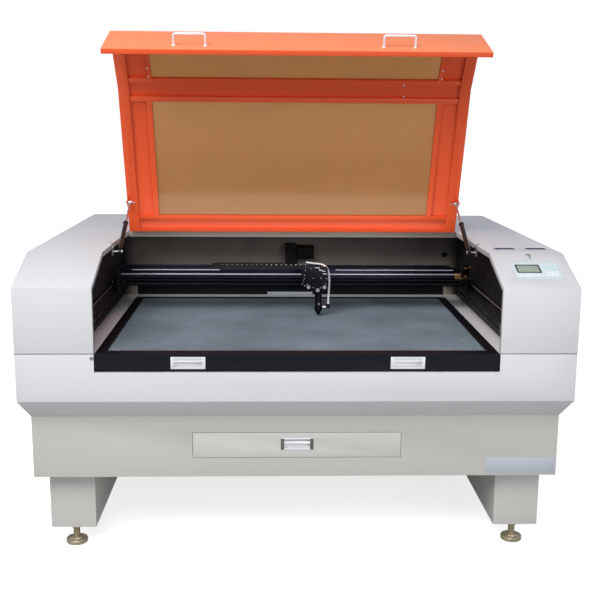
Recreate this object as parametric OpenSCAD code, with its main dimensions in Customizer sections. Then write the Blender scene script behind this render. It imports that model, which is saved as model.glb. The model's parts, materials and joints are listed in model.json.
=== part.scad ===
// Laser engraving machine: a sheet-steel housing on a stand with two long legs,
// a hinged lid on gas springs, a pull-out honeycomb table and a belt-driven gantry.
// Millimetres, +Z up, front towards -Y. The origin is on the floor, under the
// middle of the bounding box. Inside the modules y runs from the housing's front
// face, and in_frame() shifts it to the origin.

/* [Housing] */
// Overall width of the housing
housing_w = 1900; // [1800:10:2100]
// Depth of the housing, front face to back face
housing_d = 1540; // [1480:10:1700]
// Height of the housing's flat top above the floor
top_z = 1067; // [1055:1:1090]
// Height of the bend where the front face meets the sloping face
front_z = 981; // [965:1:995]
// Depth of the sloping face, seen from above
slope_d = 230; // [200:5:260]
// Height of the seam between the upper and the lower housing
seam_z = 754; // [740:1:760]
// Height of the lower housing's bottom bend
bend_z = 589; // [570:1:610]
// How far the lower housing's chamfer runs in at the front and the back
chamfer_front = 72; // [50:1:90]
// How far the chamfer runs in at the sides
chamfer_side = 28; // [15:1:40]
// Thickness of the housing's sheet steel
sheet = 3; // [2:0.5:4]
// Depth of the return lips along the opening
lip_d = 18; // [14:1:24]

/* [Opening] */
// Half the width of the opening that the lid covers
opening_x = 686.5; // [670:0.5:700]
// Back edge of the opening, from the front face
opening_back = 858; // [850:1:900]
// Clearance between parts that only rest or slide against each other
gap = 0.3; // [0.3:0.05:0.5]

/* [Stand and legs] */
// Height of the stand's top, under the lower housing
stand_top_z = 515; // [500:1:530]
// Height of the stand's underside
stand_z = 293; // [270:1:310]
// Width of a leg box
leg_w = 161; // [120:1:180]
// Distance of a leg's middle from the machine's middle
leg_x = 803.5; // [760:0.5:820]
// Distance of a leg's front end from the housing's front face
leg_y = 139; // [110:1:180]
// Height of a leg's underside
leg_z = 76; // [60:1:90]
// Diameter of a levelling foot's disc
foot_disc_d = 77; // [60:1:90]
// Height of the disc's rim
foot_rim_h = 17; // [10:1:20]
// Diameter of the foot's threaded stem
stem_d = 24; // [16:1:30]
// Distance of the front feet from the housing's front face
foot_y = 183; // [181:1:220]

/* [Lid] */
// Hinge axis, from the housing's front face
hinge_y = 850; // [846:1:852]
// Radius of the hinge barrels
barrel_r = 6; // [4:0.5:8]
// Angle that the lid stands open at rest
lid_open = 70; // [60:1:75]
// Half the width of the lid
lid_x = 676; // [660:1:680]
// Depth of the lid's flanges
lid_t = 18; // [16:1:20]
// Thickness of the lid's sheet
lid_sheet = 2; // [1.5:0.5:3]
// Width of the return lips along the lid's sides
lid_lip = 42; // [30:1:50]
// Height of the visor's free edge with the lid closed
visor_z = 756; // [756:1:780]
// Width of the large window
window_w = 1102; // [1000:2:1160]
// Length of the large window, along the lid
window_l = 484; // [420:2:500]
// Distance of the large window from the lid's back edge
window_back = 72; // [60:1:90]
// Width of the small window in the sloping panel
small_window_w = 1090; // [1000:2:1160]
// Length of the small window, along the slope
small_window_l = 160; // [100:2:164]
// Thickness of the acrylic panes
pane_t = 3; // [2:0.5:4]
// Width of the raised frames round the panes
frame_w = 20; // [12:1:24]
// Width of the raised frame round the small pane
small_frame_w = 12; // [8:1:14]
// Height of the raised frames
frame_h = 12; // [8:1:14]
// Distance of the left lid handle from the middle
lid_handle_left = 376; // [300:1:450]
// Distance of the right lid handle from the middle
lid_handle_right = 355; // [300:1:450]
// Length of a lid handle between its feet
lid_handle_l = 110; // [80:1:140]
// Diameter of a lid handle's rod
lid_handle_d = 9; // [6:1:12]
// How far a lid handle stands off the visor
lid_handle_h = 46; // [25:1:60]

/* [Gas springs] */
// Lower pivot of the gas springs, from the front face
spring_y = 450; // [440:1:460]
// Height of the lower pivot
spring_z = 1038; // [1034:1:1040]
// Distance of the springs from the machine's middle
spring_x = 660; // [650:1:662]
// Distance of the upper stud from the hinge, along the lid
stud_s = 150; // [140:1:160]
// Depth of the upper stud under the lid's skin
stud_t = 48; // [44:1:52]
// Diameter of the spring's cylinder
spring_d = 17; // [14:1:18]
// Diameter of the spring's rod
spring_rod_d = 8; // [6:1:9]

/* [Table] */
// Half the width of the pull-out table
table_x = 682; // [660:1:683]
// Front face of the table, from the housing's front face
table_y = 6; // [4:1:12]
// Depth of the table
table_d = 1033; // [1000:1:1040]
// Height of the table's front panel
table_front_h = 57; // [52:1:62]
// Width of the frame's side members
table_side_w = 32; // [28:1:50]
// Width of the frame's front member
table_front_w = 50; // [45:1:60]
// Width of the frame's back member
table_back_w = 28; // [20:1:40]
// Number of honeycomb cells across, drawn coarse
cells_x = 13; // [8:1:13]
// Number of honeycomb cells along, drawn coarse
cells_y = 9; // [6:1:9]
// Distance of a table handle from the middle
table_handle_x = 372; // [300:1:420]
// Width of a flush handle
cup_w = 117; // [90:1:140]
// Height of a flush handle
cup_h = 42; // [34:1:44]

/* [Drawer] */
// Half the width of the drawer's front
drawer_x = 365; // [300:1:420]
// Height of the drawer's lower edge
drawer_z = 363; // [350:1:380]
// Height of the drawer's front
drawer_h = 90; // [80:1:110]
// Depth of the drawer's tray
drawer_d = 545; // [450:5:600]

/* [Motion] */
// Half the width between the chamber's side walls
wall_x = 745; // [740:1:760]
// Height of the rails that the gantry runs on
rail_z = 857; // [850:1:862]
// Width and height of a linear rail
rail_s = 15; // [12:1:16]
// Front face of the gantry's beam, from the housing's front face
beam_y = 720; // [700:1:730]
// Depth of the beam, front to back
beam_d = 50; // [40:1:55]
// Height of the beam's underside
beam_z = 860; // [858:1:866]
// Height of the beam
beam_h = 68; // [60:1:72]
// Pitch radius of the belt pulleys that move the gantry
y_pulley_r = 14; // [12:0.5:15]
// Height of the cross shaft that drives the gantry's belts
shaft_z = 815; // [812:1:818]
// Distance of the cross shaft from the housing's front face
shaft_y = 1070; // [1060:1:1074]
// Diameter of the cross shaft
shaft_d = 16; // [12:1:18]
// Distance of the front belt pulleys from the housing's front face
idler_y = 135; // [120:1:160]
// Pitch radius of the belt pulleys that move the carriage
x_pulley_r = 8; // [7:0.5:9]
// Middle of the carriage
carriage_x = 76; // [60:1:90]
// Middle of the lens tube, across
lens_x = 98; // [90:1:104]
// Middle of the lens tube, from the housing's front face
lens_y = 637; // [630:1:640]
// Height of the laser's path along the gantry
light_z = 935; // [930:1:940]
// Diameter of the lens tube
lens_d = 28; // [20:1:30]
// Height of the nozzle's tip above the table
nozzle_gap = 5; // [4:1:10]
// Diameter of the air hose
hose_d = 8.4; // [6:0.2:10]
// Pitch of the cable chain's links
link_p = 20; // [16:1:24]
// Number of links in the chain's moving run
links_moving = 18; // [16:1:19]
// Number of links in the chain's fixed run
links_fixed = 13; // [12:1:15]
// Bend radius of the cable chain
chain_r = 28; // [26:1:32]

/* [Panels] */
// Middle of the control panel, across
panel_x = 825.5; // [800:0.5:830]
// Width of the control panel
panel_w = 163; // [140:1:180]
// Length of the control panel, along the slope
panel_l = 106; // [90:1:120]
// Distance of the panel's top edge from the slope's upper bend
panel_s = 71; // [60:1:90]
// Middle of the two panel meters, from the front face
meter_y = 354; // [320:1:380]
// Width of a panel meter
meter_w = 76; // [70:1:90]
// Length of a panel meter, front to back
meter_l = 48; // [40:1:60]
// Distance between the two meters' middles
meter_pitch = 115.5; // [100:0.5:120]
// Diameter of the exhaust spigot at the back
spigot_d = 150; // [120:1:160]
// Length of the exhaust spigot
spigot_l = 60; // [50:1:80]

/* [Laser tube] */
// Distance of the chamber's back wall from the front face
wall_y = 1100; // [1092:1:1110]
// Diameter of the laser tube
tube_d = 80; // [60:1:90]
// Length of the laser tube
tube_l = 1250; // [1000:10:1300]

/* [Hidden] */
$fn = 48;
eps = 0.01;
half_w = housing_w / 2;
overall_d = housing_d + spigot_l;
slope_angle = atan((top_z - front_z) / slope_d);
slope_l = norm([slope_d, top_z - front_z]);
run_fit = 0.06;
deck_z = seam_z;
table_top_z = seam_z;
hinge_z = top_z + barrel_r + gap;
lid_back_y = hinge_y - 4;
skirt_x = half_w - chamfer_side;
beam_x = wall_x - 41;
rail_x = wall_x - rail_s;
block_x = rail_x - 16;
rail_front = 60;
rail_back = wall_y - 15;
bridge_d = 30;
notch_z = table_top_z - table_front_h - 6;
runner_z = notch_z + 9;
y_belt_x = block_x + 9;
stem_r = stem_d / 2;
chain_z = beam_z + beam_h + 2;
chain_h = 15;
hose_z = chain_z + chain_h + 12;
chain_front_y = beam_y + 13;
chain_back_y = chain_front_y + 2 * chain_r;
chain_end_x = carriage_x - 16;
chain_bend_x = chain_end_x - links_moving * link_p;

// Lower pivot and upper stud of the gas springs, as [y, z]
pivot = [spring_y, spring_z];
function open_point(y, z) = [
    hinge_y + (y - hinge_y) * cos(lid_open) + (z - hinge_z) * sin(lid_open),
    hinge_z - (y - hinge_y) * sin(lid_open) + (z - hinge_z) * cos(lid_open)];
stud_closed = [hinge_y - stud_s, top_z - stud_t];
stud_open = open_point(stud_closed[0], stud_closed[1]);
spring_open_l = norm(stud_open - pivot);
spring_closed_l = norm(stud_closed - pivot);
spring_angle = atan2(stud_open[1] - pivot[1], stud_open[0] - pivot[0]);
spring_eye = 14;
cylinder_l = spring_closed_l - 75;

// Shifts y from the housing's front face to the origin
module in_frame() translate([0, -overall_d / 2, 0]) children();

// Extrudes a [y, z] outline across the machine
module across(x0, x1)
    translate([x0, 0, 0]) rotate([90, 0, 90]) linear_extrude(x1 - x0) children();

// Extrudes an [x, z] outline from front to back
module along(y0, y1)
    translate([0, y1, 0]) rotate([90, 0, 0]) linear_extrude(y1 - y0) children();

// A box from its low and high corners
module span(a, b) translate(a) cube(b - a);

// Cylinders along x and along y
module rod_x(x0, x1, y, z, r) translate([x0, y, z]) rotate([0, 90, 0]) cylinder(h = x1 - x0, r = r);
module rod_y(y0, y1, x, z, r) translate([x, y0, z]) rotate([-90, 0, 0]) cylinder(h = y1 - y0, r = r);

// The same piece on both sides
module both_sides() {
    children();
    mirror([1, 0, 0]) children();
}

// A frame lying on the slope, its origin at the upper bend and -y running down
module on_slope() translate([0, slope_d, top_z]) rotate([slope_angle, 0, 0]) children();

// Turns a lid piece from closed to open
module opened()
    translate([0, hinge_y, hinge_z]) rotate([-lid_open, 0, 0]) translate([0, -hinge_y, -hinge_z]) children();

// Side outline of the upper housing, inset by t
function housing_outline(t, back, low) = [
    [t, low],
    [t, front_z - t * tan(45 - slope_angle / 2)],
    [slope_d + t * tan(slope_angle / 2), top_z - t],
    [back, top_z - t],
    [back, low]];

// ---- Lower housing, stand and legs ----

function belt_yz(t) = [
    [chamfer_front + t, stand_top_z - (t > 0 ? 1 : 0)], [t, bend_z], [t, deck_z],
    [housing_d - t, deck_z], [housing_d - t, bend_z],
    [housing_d - chamfer_front - t, stand_top_z - (t > 0 ? 1 : 0)]];
function belt_xz(t) = [
    [-skirt_x + t, stand_top_z - (t > 0 ? 1 : 0)], [-half_w + t, bend_z], [-half_w + t, deck_z],
    [half_w - t, deck_z], [half_w - t, bend_z], [skirt_x - t, stand_top_z - (t > 0 ? 1 : 0)]];

module belt_solid(t) intersection() {
    across(-half_w, half_w) polygon(belt_yz(t));
    along(0, housing_d) polygon(belt_xz(t));
}

// Its lower edge stands on the flange at the top of the stand
module lower_housing() color("gainsboro") in_frame() {
    difference() {
        belt_solid(0);
        difference() {
            belt_solid(sheet);
            span([-half_w, 0, deck_z - sheet], [half_w, housing_d, deck_z + 1]);
        }
        span([-opening_x, -1, notch_z], [opening_x, sheet + 1, deck_z + 1]);
        span([-opening_x, -1, deck_z - sheet - 1], [opening_x, table_y + table_d + 3, deck_z + 1]);
    }
    // Ledge under the table's front panel
    span([-opening_x, sheet, notch_z - sheet], [opening_x, 24, notch_z]);
}

module stand() color("lightgray") in_frame() {
    front = chamfer_front;
    back = housing_d - chamfer_front;
    difference() {
        span([-skirt_x, front, stand_z], [skirt_x, back, stand_top_z]);
        span([-skirt_x + sheet, front + sheet, stand_z + sheet],
            [skirt_x - sheet, back - sheet, stand_top_z - sheet]);
        span([-skirt_x + 60, front + 60, stand_top_z - sheet - 1],
            [skirt_x - 60, back - 60, stand_top_z + 1]);
        span([-drawer_x - 1.5, front - 1, drawer_z - 1.5],
            [drawer_x + 1.5, front + sheet + 1, drawer_z + drawer_h + 1.5]);
        for (sx = [-1, 1], y = [foot_y, housing_d - foot_y])
            translate([sx * leg_x, y, stand_z - 1]) cylinder(h = sheet + 2, r = stem_r + 8);
    }
}

module leg(side) {
    x0 = side * leg_x - leg_w / 2;
    x1 = side * leg_x + leg_w / 2;
    back = housing_d - leg_y;
    difference() {
        union() {
            span([x0, leg_y, leg_z], [x1, back, stand_z]);
            // Welded nuts for the levelling feet
            for (y = [foot_y, housing_d - foot_y])
                translate([side * leg_x, y, leg_z - 9]) cylinder(h = 9.5, r = stem_r + 8, $fn = 6);
        }
        span([x0 + sheet, leg_y + sheet, leg_z + sheet], [x1 - sheet, back - sheet, stand_z + 1]);
        for (y = [foot_y, housing_d - foot_y])
            translate([side * leg_x, y, leg_z - 10]) cylinder(h = 40, r = stem_r + run_fit);
    }
}
module left_leg() color("silver") in_frame() leg(-1);
module right_leg() color("silver") in_frame() leg(1);

// Levelling foot: a turned disc with a groove round its rim, a hub and a threaded stem
module foot(side, y) color("darkkhaki") in_frame() translate([side * leg_x, y, 0])
    rotate_extrude() polygon([
        [0, 0], [foot_disc_d / 2 - 2, 0], [foot_disc_d / 2, 2], [foot_disc_d / 2, foot_rim_h - 9],
        [foot_disc_d / 2 - 2, foot_rim_h - 8], [foot_disc_d / 2 - 2, foot_rim_h - 6],
        [foot_disc_d / 2, foot_rim_h - 5], [foot_disc_d / 2, foot_rim_h - 1.5],
        [foot_disc_d / 2 - 1.5, foot_rim_h], [stem_r + 9, foot_rim_h],
        [stem_r + 8, foot_rim_h + 5], [stem_r, foot_rim_h + 5],
        [stem_r, leg_z + 70], [stem_r - 2, leg_z + 72], [0, leg_z + 72]]);

module foot_front_left() foot(-1, foot_y);
module foot_front_right() foot(1, foot_y);
module foot_back_left() foot(-1, housing_d - foot_y);
module foot_back_right() foot(1, housing_d - foot_y);

// ---- Upper housing ----

module side_housing() {
    back = housing_d;
    difference() {
        across(opening_x, half_w) polygon(housing_outline(0, back, seam_z));
        across(opening_x + sheet, half_w - sheet)
            polygon(housing_outline(sheet, back - sheet, seam_z - 1));
        across(opening_x - 1, opening_x + sheet + 1)
            polygon(housing_outline(lip_d, back - sheet, seam_z - 1));
        // Shadow line where the upper housing meets the lower one
        difference() {
            span([opening_x - 1, -1, seam_z - 1], [half_w + 1, back + 1, seam_z + 2.4]);
            span([opening_x - 2, 1.4, seam_z - 2], [half_w - 1.4, back - 1.4, seam_z + 3]);
        }
    }
}

module left_housing() color("gainsboro") in_frame() mirror([1, 0, 0]) side_housing();

module right_housing() color("gainsboro") in_frame() difference() {
    side_housing();
    on_slope() span([body_x0 - 1, -panel_s - panel_l + 4, -sheet - 5],
        [panel_x + panel_w / 2 - 4, -panel_s - 4, 5]);
    for (s = [-1, 1])
        translate([panel_x + 2 + s * meter_pitch / 2, meter_y, top_z])
            cube([meter_w, meter_l, 20], center = true);
}

module rear_bridge() color("tan") in_frame() {
    low = top_z - 24;
    difference() {
        span([-opening_x + gap, opening_back, low],
            [opening_x - gap, opening_back + bridge_d, top_z]);
        span([-opening_x - 1, opening_back + sheet, low - 1],
            [opening_x + 1, opening_back + bridge_d - sheet, top_z - sheet]);
    }
}

module rear_cover() color("silver") in_frame() {
    front = opening_back + bridge_d + 0.5;
    difference() {
        span([-opening_x + 0.5, front, top_z - lip_d], [opening_x - 0.5, housing_d, top_z]);
        span([-opening_x + 0.5 + sheet, front + sheet, top_z - lip_d - 1],
            [opening_x - 0.5 - sheet, housing_d - sheet, top_z - sheet]);
    }
}

spigot_x = -380;
spigot_z = (seam_z + top_z - lip_d) / 2;
module rear_panel() color("lightgray") in_frame() {
    y0 = housing_d - sheet;
    difference() {
        union() {
            span([-opening_x + 0.5, y0, seam_z], [opening_x - 0.5, housing_d, top_z - lip_d]);
            // Mains inlet, and hose tails for the laser's water and the air
            span([594, y0 - 22, seam_z + 40], [652, housing_d + 2, seam_z + 74]);
            for (i = [0:2]) {
                rod_y(y0 - 8, housing_d + 24, 440 + i * 40, seam_z + 56, 5);
                rod_y(housing_d - eps, housing_d + 6, 440 + i * 40, seam_z + 56, 9);
            }
        }
        span([608, housing_d - 14, seam_z + 46], [638, housing_d + 3, seam_z + 68]);
        for (i = [0:2]) rod_y(y0 - 9, housing_d + 25, 440 + i * 40, seam_z + 56, 3);
        rod_y(y0 - 1, housing_d + 1, spigot_x, spigot_z, spigot_d / 2 - 2);
        // Cooling slots
        for (i = [0:13])
            span([-120 + i * 30, y0 - 1, spigot_z - 60], [-108 + i * 30, housing_d + 1, spigot_z + 60]);
    }
}

// Flanged spigot on the rear panel, for the exhaust hose
module exhaust_spigot() color("silver") in_frame() difference() {
    union() {
        rod_y(housing_d, housing_d + 2, spigot_x, spigot_z, spigot_d / 2 + 18);
        rod_y(housing_d, overall_d, spigot_x, spigot_z, spigot_d / 2);
    }
    rod_y(housing_d - 1, overall_d + 1, spigot_x, spigot_z, spigot_d / 2 - 2);
}

// ---- Chamber ----

module chamber_liner() color("dimgray") in_frame() {
    // Side walls, lower under the slope than the control panel is deep, and the back wall
    both_sides() {
        across(wall_x, wall_x + sheet) polygon([
            [24, seam_z], [24, front_z - 40], [slope_d, top_z - 48],
            [wall_y + sheet, top_z - 48], [wall_y + sheet, seam_z]]);
        difference() {
            rod_x(wall_x - 12, wall_x + eps, shaft_y, shaft_z, shaft_d / 2 + 7);
            rod_x(wall_x - 13, wall_x, shaft_y, shaft_z, shaft_d / 2 + run_fit);
        }
        rod_x(y_belt_x - 9, wall_x + eps, idler_y, shaft_z, 5);
        rod_x(y_belt_x + 8 + gap, wall_x + eps, idler_y, shaft_z, 9);
    }
    difference() {
        span([-wall_x - eps, wall_y, seam_z], [wall_x + eps, wall_y + sheet, top_z - lip_d - 1]);
        // Hole for the laser's path
        rod_y(wall_y - 1, wall_y + sheet + 1, end_mirror_x, light_z, 12);
    }
}
end_mirror_x = 688;

module rear_apron() color("black") in_frame() difference() {
    span([-opening_x, wall_y - sheet - gap, seam_z], [opening_x, wall_y - gap, beam_z]);
    span([-108, wall_y - 10, seam_z - 1], [96, wall_y + 10, seam_z + 12]);
}

module y_rails() color("silver") in_frame() both_sides() {
    c = rail_s / 2;
    along(rail_front, rail_back) translate([wall_x, rail_z]) polygon([
        [0, -c], [0, c], [-rail_s, c], [-rail_s, c * 0.55], [-rail_s + 4, c * 0.2],
        [-rail_s + 4, -c * 0.2], [-rail_s, -c * 0.55], [-rail_s, -c]]);
}

// A closed belt loop in a vertical plane, inside and outside radii
module belt_loop_y(x0, x1, r0, r1) difference() {
    belt_oval_y(x0, x1, r1);
    belt_oval_y(x0 - 1, x1 + 1, r0);
}
module belt_oval_y(x0, x1, r) {
    rod_x(x0, x1, shaft_y, shaft_z, r);
    rod_x(x0, x1, idler_y, shaft_z, r);
    span([x0, idler_y, shaft_z - r], [x1, shaft_y, shaft_z + r]);
}
module y_belts() color("black") in_frame() both_sides()
    belt_loop_y(y_belt_x - 5, y_belt_x + 5, y_pulley_r - 1, y_pulley_r + 1);

module y_pulley(x, y, bore) difference() {
    union() {
        rod_x(x - 6, x + 6, y, shaft_z, y_pulley_r - 1 - gap);
        rod_x(x - 8, x - 6, y, shaft_z, y_pulley_r + 2);
        rod_x(x + 6, x + 8, y, shaft_z, y_pulley_r + 2);
    }
    rod_x(x - 9, x + 9, y, shaft_z, bore);
}
module y_shaft() color("darkgray") in_frame() {
    rod_x(-wall_x + 1, wall_x - 1, shaft_y, shaft_z, shaft_d / 2);
    both_sides() y_pulley(y_belt_x, shaft_y, shaft_d / 2 - 1);
}
module y_idler_left() color("darkgray") in_frame() y_pulley(-y_belt_x, idler_y, 5 + run_fit);
module y_idler_right() color("darkgray") in_frame() y_pulley(y_belt_x, idler_y, 5 + run_fit);

module y_drive_case() color("black") in_frame() difference() {
    // Reduction drive between the motor and the cross shaft
    union() {
        rod_x(-28, 23, shaft_y, shaft_z, shaft_d / 2 + 9);
        span([-28, shaft_y - 17, shaft_z], [23, wall_y - gap, 987]);
    }
    rod_x(-29, 24, shaft_y, shaft_z, shaft_d / 2 + run_fit);
    span([-29, wall_y - sheet - 2 * gap, shaft_z - 40], [24, wall_y + 1, beam_z + gap]);
}

module y_motor() color("black") in_frame() {
    c = 8;
    translate([23, shaft_y - 28, 923]) rotate([90, 0, 90]) linear_extrude(74)
        polygon([[c, 0], [57 - c, 0], [57, c], [57, 57 - c], [57 - c, 57], [c, 57], [0, 57 - c], [0, c]]);
}

// ---- Laser tube compartment ----

module tube_deck() color("gray") in_frame() {
    y0 = wall_y + sheet;
    y1 = housing_d - sheet;
    yc = (y0 + y1) / 2;
    span([-wall_x, y0, beam_z - sheet], [wall_x, y1, beam_z]);
    both_sides() span([wall_x - 2 * sheet, y0, seam_z], [wall_x - sheet, y1, beam_z - sheet]);
    // Saddles under the laser tube
    for (x = [-tube_l / 2 - 30 + 180, tube_l / 2 - 30 - 180]) difference() {
        span([x - 15, yc - 60, beam_z - eps], [x + 15, yc + 60, light_z + 5]);
        rod_x(x - 16, x + 16, yc, light_z, tube_d / 2);
    }
    first_mirror_mount();
}
module laser_tube() color("lightblue") in_frame() {
    yc = (wall_y + housing_d) / 2;
    rod_x(-tube_l / 2 - 30, tube_l / 2 - 30, yc, light_z, tube_d / 2);
    rod_x(tube_l / 2 - 30 - eps, tube_l / 2, yc, light_z, 14);
    rod_x(-tube_l / 2 - 55, -tube_l / 2 - 30 + eps, yc, light_z, 14);
}
// Stand and mirror plate that turn the laser's path towards the gantry
module first_mirror_mount() {
    yc = (wall_y + housing_d) / 2;
    translate([end_mirror_x, yc, beam_z - eps]) {
        translate([-20, -20, 0]) cube([40, 40, light_z - beam_z - 18]);
        translate([0, 0, light_z - beam_z]) rotate([0, 0, -45]) difference() {
            cube([50, 12, 50], center = true);
            rotate([90, 0, 0]) cylinder(h = 20, r = 10, center = true);
        }
    }
}

// ---- Control panel and meters ----

body_x0 = wall_x + sheet + 2;
module control_panel() color("honeydew") in_frame() on_slope() difference() {
    union() {
        span([panel_x - panel_w / 2, -panel_s - panel_l, 0], [panel_x + panel_w / 2, -panel_s, 1.6]);
        span([body_x0, -panel_s - panel_l + 5, -28], [panel_x + panel_w / 2 - 5, -panel_s - 5, eps]);
    }
    span([panel_x - 66, -panel_s - 68.5, -1], [panel_x + 12, -panel_s - 19, 2]);
}
module control_display() color("darkslategray") in_frame() on_slope()
    span([panel_x - 66 + gap, -panel_s - 68.5 + gap, -1], [panel_x + 12 - gap, -panel_s - 19 - gap, 0.8]);

module panel_meters() color("midnightblue") in_frame()
    for (s = [-1, 1]) translate([panel_x + 2 + s * meter_pitch / 2, meter_y, top_z]) difference() {
        translate([-meter_w / 2 + gap, -meter_l / 2 + gap, -42])
            cube([meter_w - 2 * gap, meter_l - 2 * gap, 41]);
        translate([-meter_w / 2 + 4, -meter_l / 2 + 4, -4])
            cube([meter_w - 8, meter_l - 8, 5]);
    }

// ---- Lid, drawn closed and then opened ----

function lid_outline(t, low) = concat(
    [[low, visor_z]],
    [for (p = housing_outline(t, lid_back_y, visor_z)) p]);

// The band of the lid's profile between depths a and b
module lid_band(a, b) difference() {
    polygon(housing_outline(a, lid_back_y, visor_z));
    polygon(housing_outline(b, lid_back_y + 1, visor_z - 1));
}
module on_lid_slope() on_slope() children();

module large_window_cut(grow, z0, z1)
    span([-window_w / 2 - grow, lid_back_y - window_back - window_l - grow, top_z - z1],
        [window_w / 2 + grow, lid_back_y - window_back + grow, top_z - z0]);
module small_window_cut(grow, z0, z1)
    on_slope() span([-small_window_w / 2 - grow, -slope_l / 2 - small_window_l / 2 - grow, -z1],
        [small_window_w / 2 + grow, -slope_l / 2 + small_window_l / 2 + grow, -z0]);

module lid_shell() color("orangered") in_frame() opened() {
    difference() {
        union() {
            across(-lid_x, lid_x) lid_band(0, lid_sheet);
            both_sides() {
                across(lid_x - lid_sheet, lid_x) lid_band(0, lid_t);
                across(lid_x - lid_lip, lid_x) lid_band(lid_t - lid_sheet, lid_t);
            }
            // Back flange and the visor's turned-in edge
            span([-lid_x, lid_back_y - lid_sheet, top_z - lid_t], [lid_x, lid_back_y, top_z]);
            span([-lid_x, lid_back_y - 12, top_z - lid_t], [lid_x, lid_back_y, top_z - lid_t + lid_sheet]);
            span([-lid_x, 0, visor_z], [lid_x, lid_t, visor_z + lid_sheet]);
        }
        large_window_cut(0, -1, lid_sheet + 1);
        small_window_cut(0, -1, lid_sheet + 1);
    }
    // Stud plates of the gas springs
    both_sides() {
        span([spring_x + 8, hinge_y - stud_s - 16, top_z - stud_t - 8],
            [spring_x + 11, hinge_y - stud_s + 16, top_z - lid_t + eps]);
        rod_x(spring_x + 6 + gap, spring_x + 8 + eps, stud_closed[0], stud_closed[1], 4);
    }
}

// Raised frames round the panes, whose cross bars reach from one side lip to the other
module window_frames() color("orangered") in_frame() opened() {
    bar_x = lid_x - lid_lip;
    y0 = lid_back_y - window_back;
    y1 = y0 - window_l;
    difference() {
        union() {
            large_window_cut(frame_w, lid_sheet, lid_sheet + frame_h);
            for (y = [y0, y1 - frame_w])
                span([-bar_x, y, top_z - lid_sheet - frame_h], [bar_x, y + frame_w, top_z - lid_sheet]);
        }
        large_window_cut(0, 0, lid_t + 5);
        large_window_cut(8 + gap, lid_sheet - 1, lid_sheet + pane_t + gap);
    }
    s0 = (slope_l - small_window_l) / 2;
    difference() {
        union() {
            small_window_cut(small_frame_w, lid_sheet, lid_sheet + frame_h);
            on_slope() span([-bar_x, -s0, -lid_sheet - frame_h], [bar_x, -s0 + frame_w, -lid_sheet]);
        }
        small_window_cut(0, 0, lid_t + 5);
        small_window_cut(5 + gap, lid_sheet - 1, lid_sheet + pane_t + gap);
    }
}
module large_window() color("peru") in_frame() opened()
    large_window_cut(8, lid_sheet, lid_sheet + pane_t);
module small_window() color("peru") in_frame() opened()
    small_window_cut(5, lid_sheet, lid_sheet + pane_t);

module lid_handles() color("orange") in_frame() opened() for (middle = [-lid_handle_left, lid_handle_right]) {
    z = front_z - 180;
    r = lid_handle_d / 2;
    b = 8;
    x0 = middle - lid_handle_l / 2;
    x1 = middle + lid_handle_l / 2;
    y = -lid_handle_h + r;
    rod_x(x0 + b, x1 - b, y, z, r);
    for (x = [x0, x1]) {
        rod_y(y + b, 0, x, z, r);
        rod_y(-2, 0, x, z, r + 3);
    }
    translate([x0 + b, y + b, z]) rotate([0, 0, 180]) rotate_extrude(angle = 90) translate([b, 0]) circle(r = r);
    translate([x1 - b, y + b, z]) rotate([0, 0, 270]) rotate_extrude(angle = 90) translate([b, 0]) circle(r = r);
}

// ---- Lid hinges: three butt hinges with a pin ----

hinge_xs = [-520, 0, 520];
leaf_t = 2.5;
module hinge_base() color("gray") in_frame() for (x = hinge_xs) difference() {
    union() {
        for (k = [-1, 1]) {
            rod_x(x + k * 30 - 10, x + k * 30 + 10, hinge_y, hinge_z, barrel_r);
            span([x + k * 30 - 10, hinge_y, top_z + gap], [x + k * 30 + 10, opening_back + 2, top_z + leaf_t]);
        }
        span([x - 40, opening_back + 1, top_z], [x + 40, opening_back + 26, top_z + leaf_t]);
    }
    rod_x(x - 50, x + 50, hinge_y, hinge_z, 3 + run_fit);
}
module hinge_flaps() color("gray") in_frame() opened() for (x = hinge_xs) {
    rod_x(x - 19.5, x + 19.5, hinge_y, hinge_z, barrel_r);
    rod_x(x - 42, x + 42, hinge_y, hinge_z, 3);
    span([x - 19.5, lid_back_y - 3, top_z + gap], [x + 19.5, hinge_y, top_z + leaf_t]);
    span([x - 40, lid_back_y - 28, top_z], [x + 40, lid_back_y - 3 + eps, top_z + leaf_t]);
}

// ---- Gas springs, drawn along +y from the lower pivot and turned to rest ----

module spring_brackets() color("silver") in_frame() both_sides() {
    span([opening_x - 3, spring_y - 18, spring_z - 14], [opening_x, spring_y + 18, top_z - 4]);
    rod_x(spring_x - 9, opening_x - 3 + eps, spring_y, spring_z, 4);
    rod_x(spring_x - 9, spring_x - 6.6, spring_y, spring_z, 6);
}
module spring_axis(side) translate([side * spring_x, spring_y, spring_z]) rotate([spring_angle, 0, 0]) children();
module gas_cylinder(side) spring_axis(side) difference() {
    union() {
        rod_x(-6, 6, 0, 0, 8);
        rod_y(5, spring_eye + 2, 0, 0, 5);
        rod_y(spring_eye, spring_eye + cylinder_l, 0, 0, spring_d / 2);
        rod_y(spring_eye + cylinder_l - eps, spring_eye + cylinder_l + 4, 0, 0, spring_d / 2 - 1.5);
    }
    rod_x(-7, 7, 0, 0, 4 + run_fit);
    rod_y(spring_eye + 6, spring_eye + cylinder_l - 8, 0, 0, spring_d / 2 - 1.5);
    rod_y(spring_eye + cylinder_l - 9, spring_eye + cylinder_l + 5, 0, 0, spring_rod_d / 2 + run_fit);
}
module gas_rod(side) spring_axis(side) {
    stroke = spring_open_l - spring_closed_l;
    rod_y(spring_eye + 9 + stroke, spring_open_l - 8, 0, 0, spring_rod_d / 2);
    rod_y(spring_eye + 9 + stroke, spring_eye + 17 + stroke, 0, 0, spring_d / 2 - 1.6);
    rod_y(spring_open_l - 18, spring_open_l - 6, 0, 0, spring_rod_d / 2 + 1.5);
    rod_x(-6, 6, spring_open_l, 0, 8);
}
module gas_cylinder_left() color("black") in_frame() gas_cylinder(-1);
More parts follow.
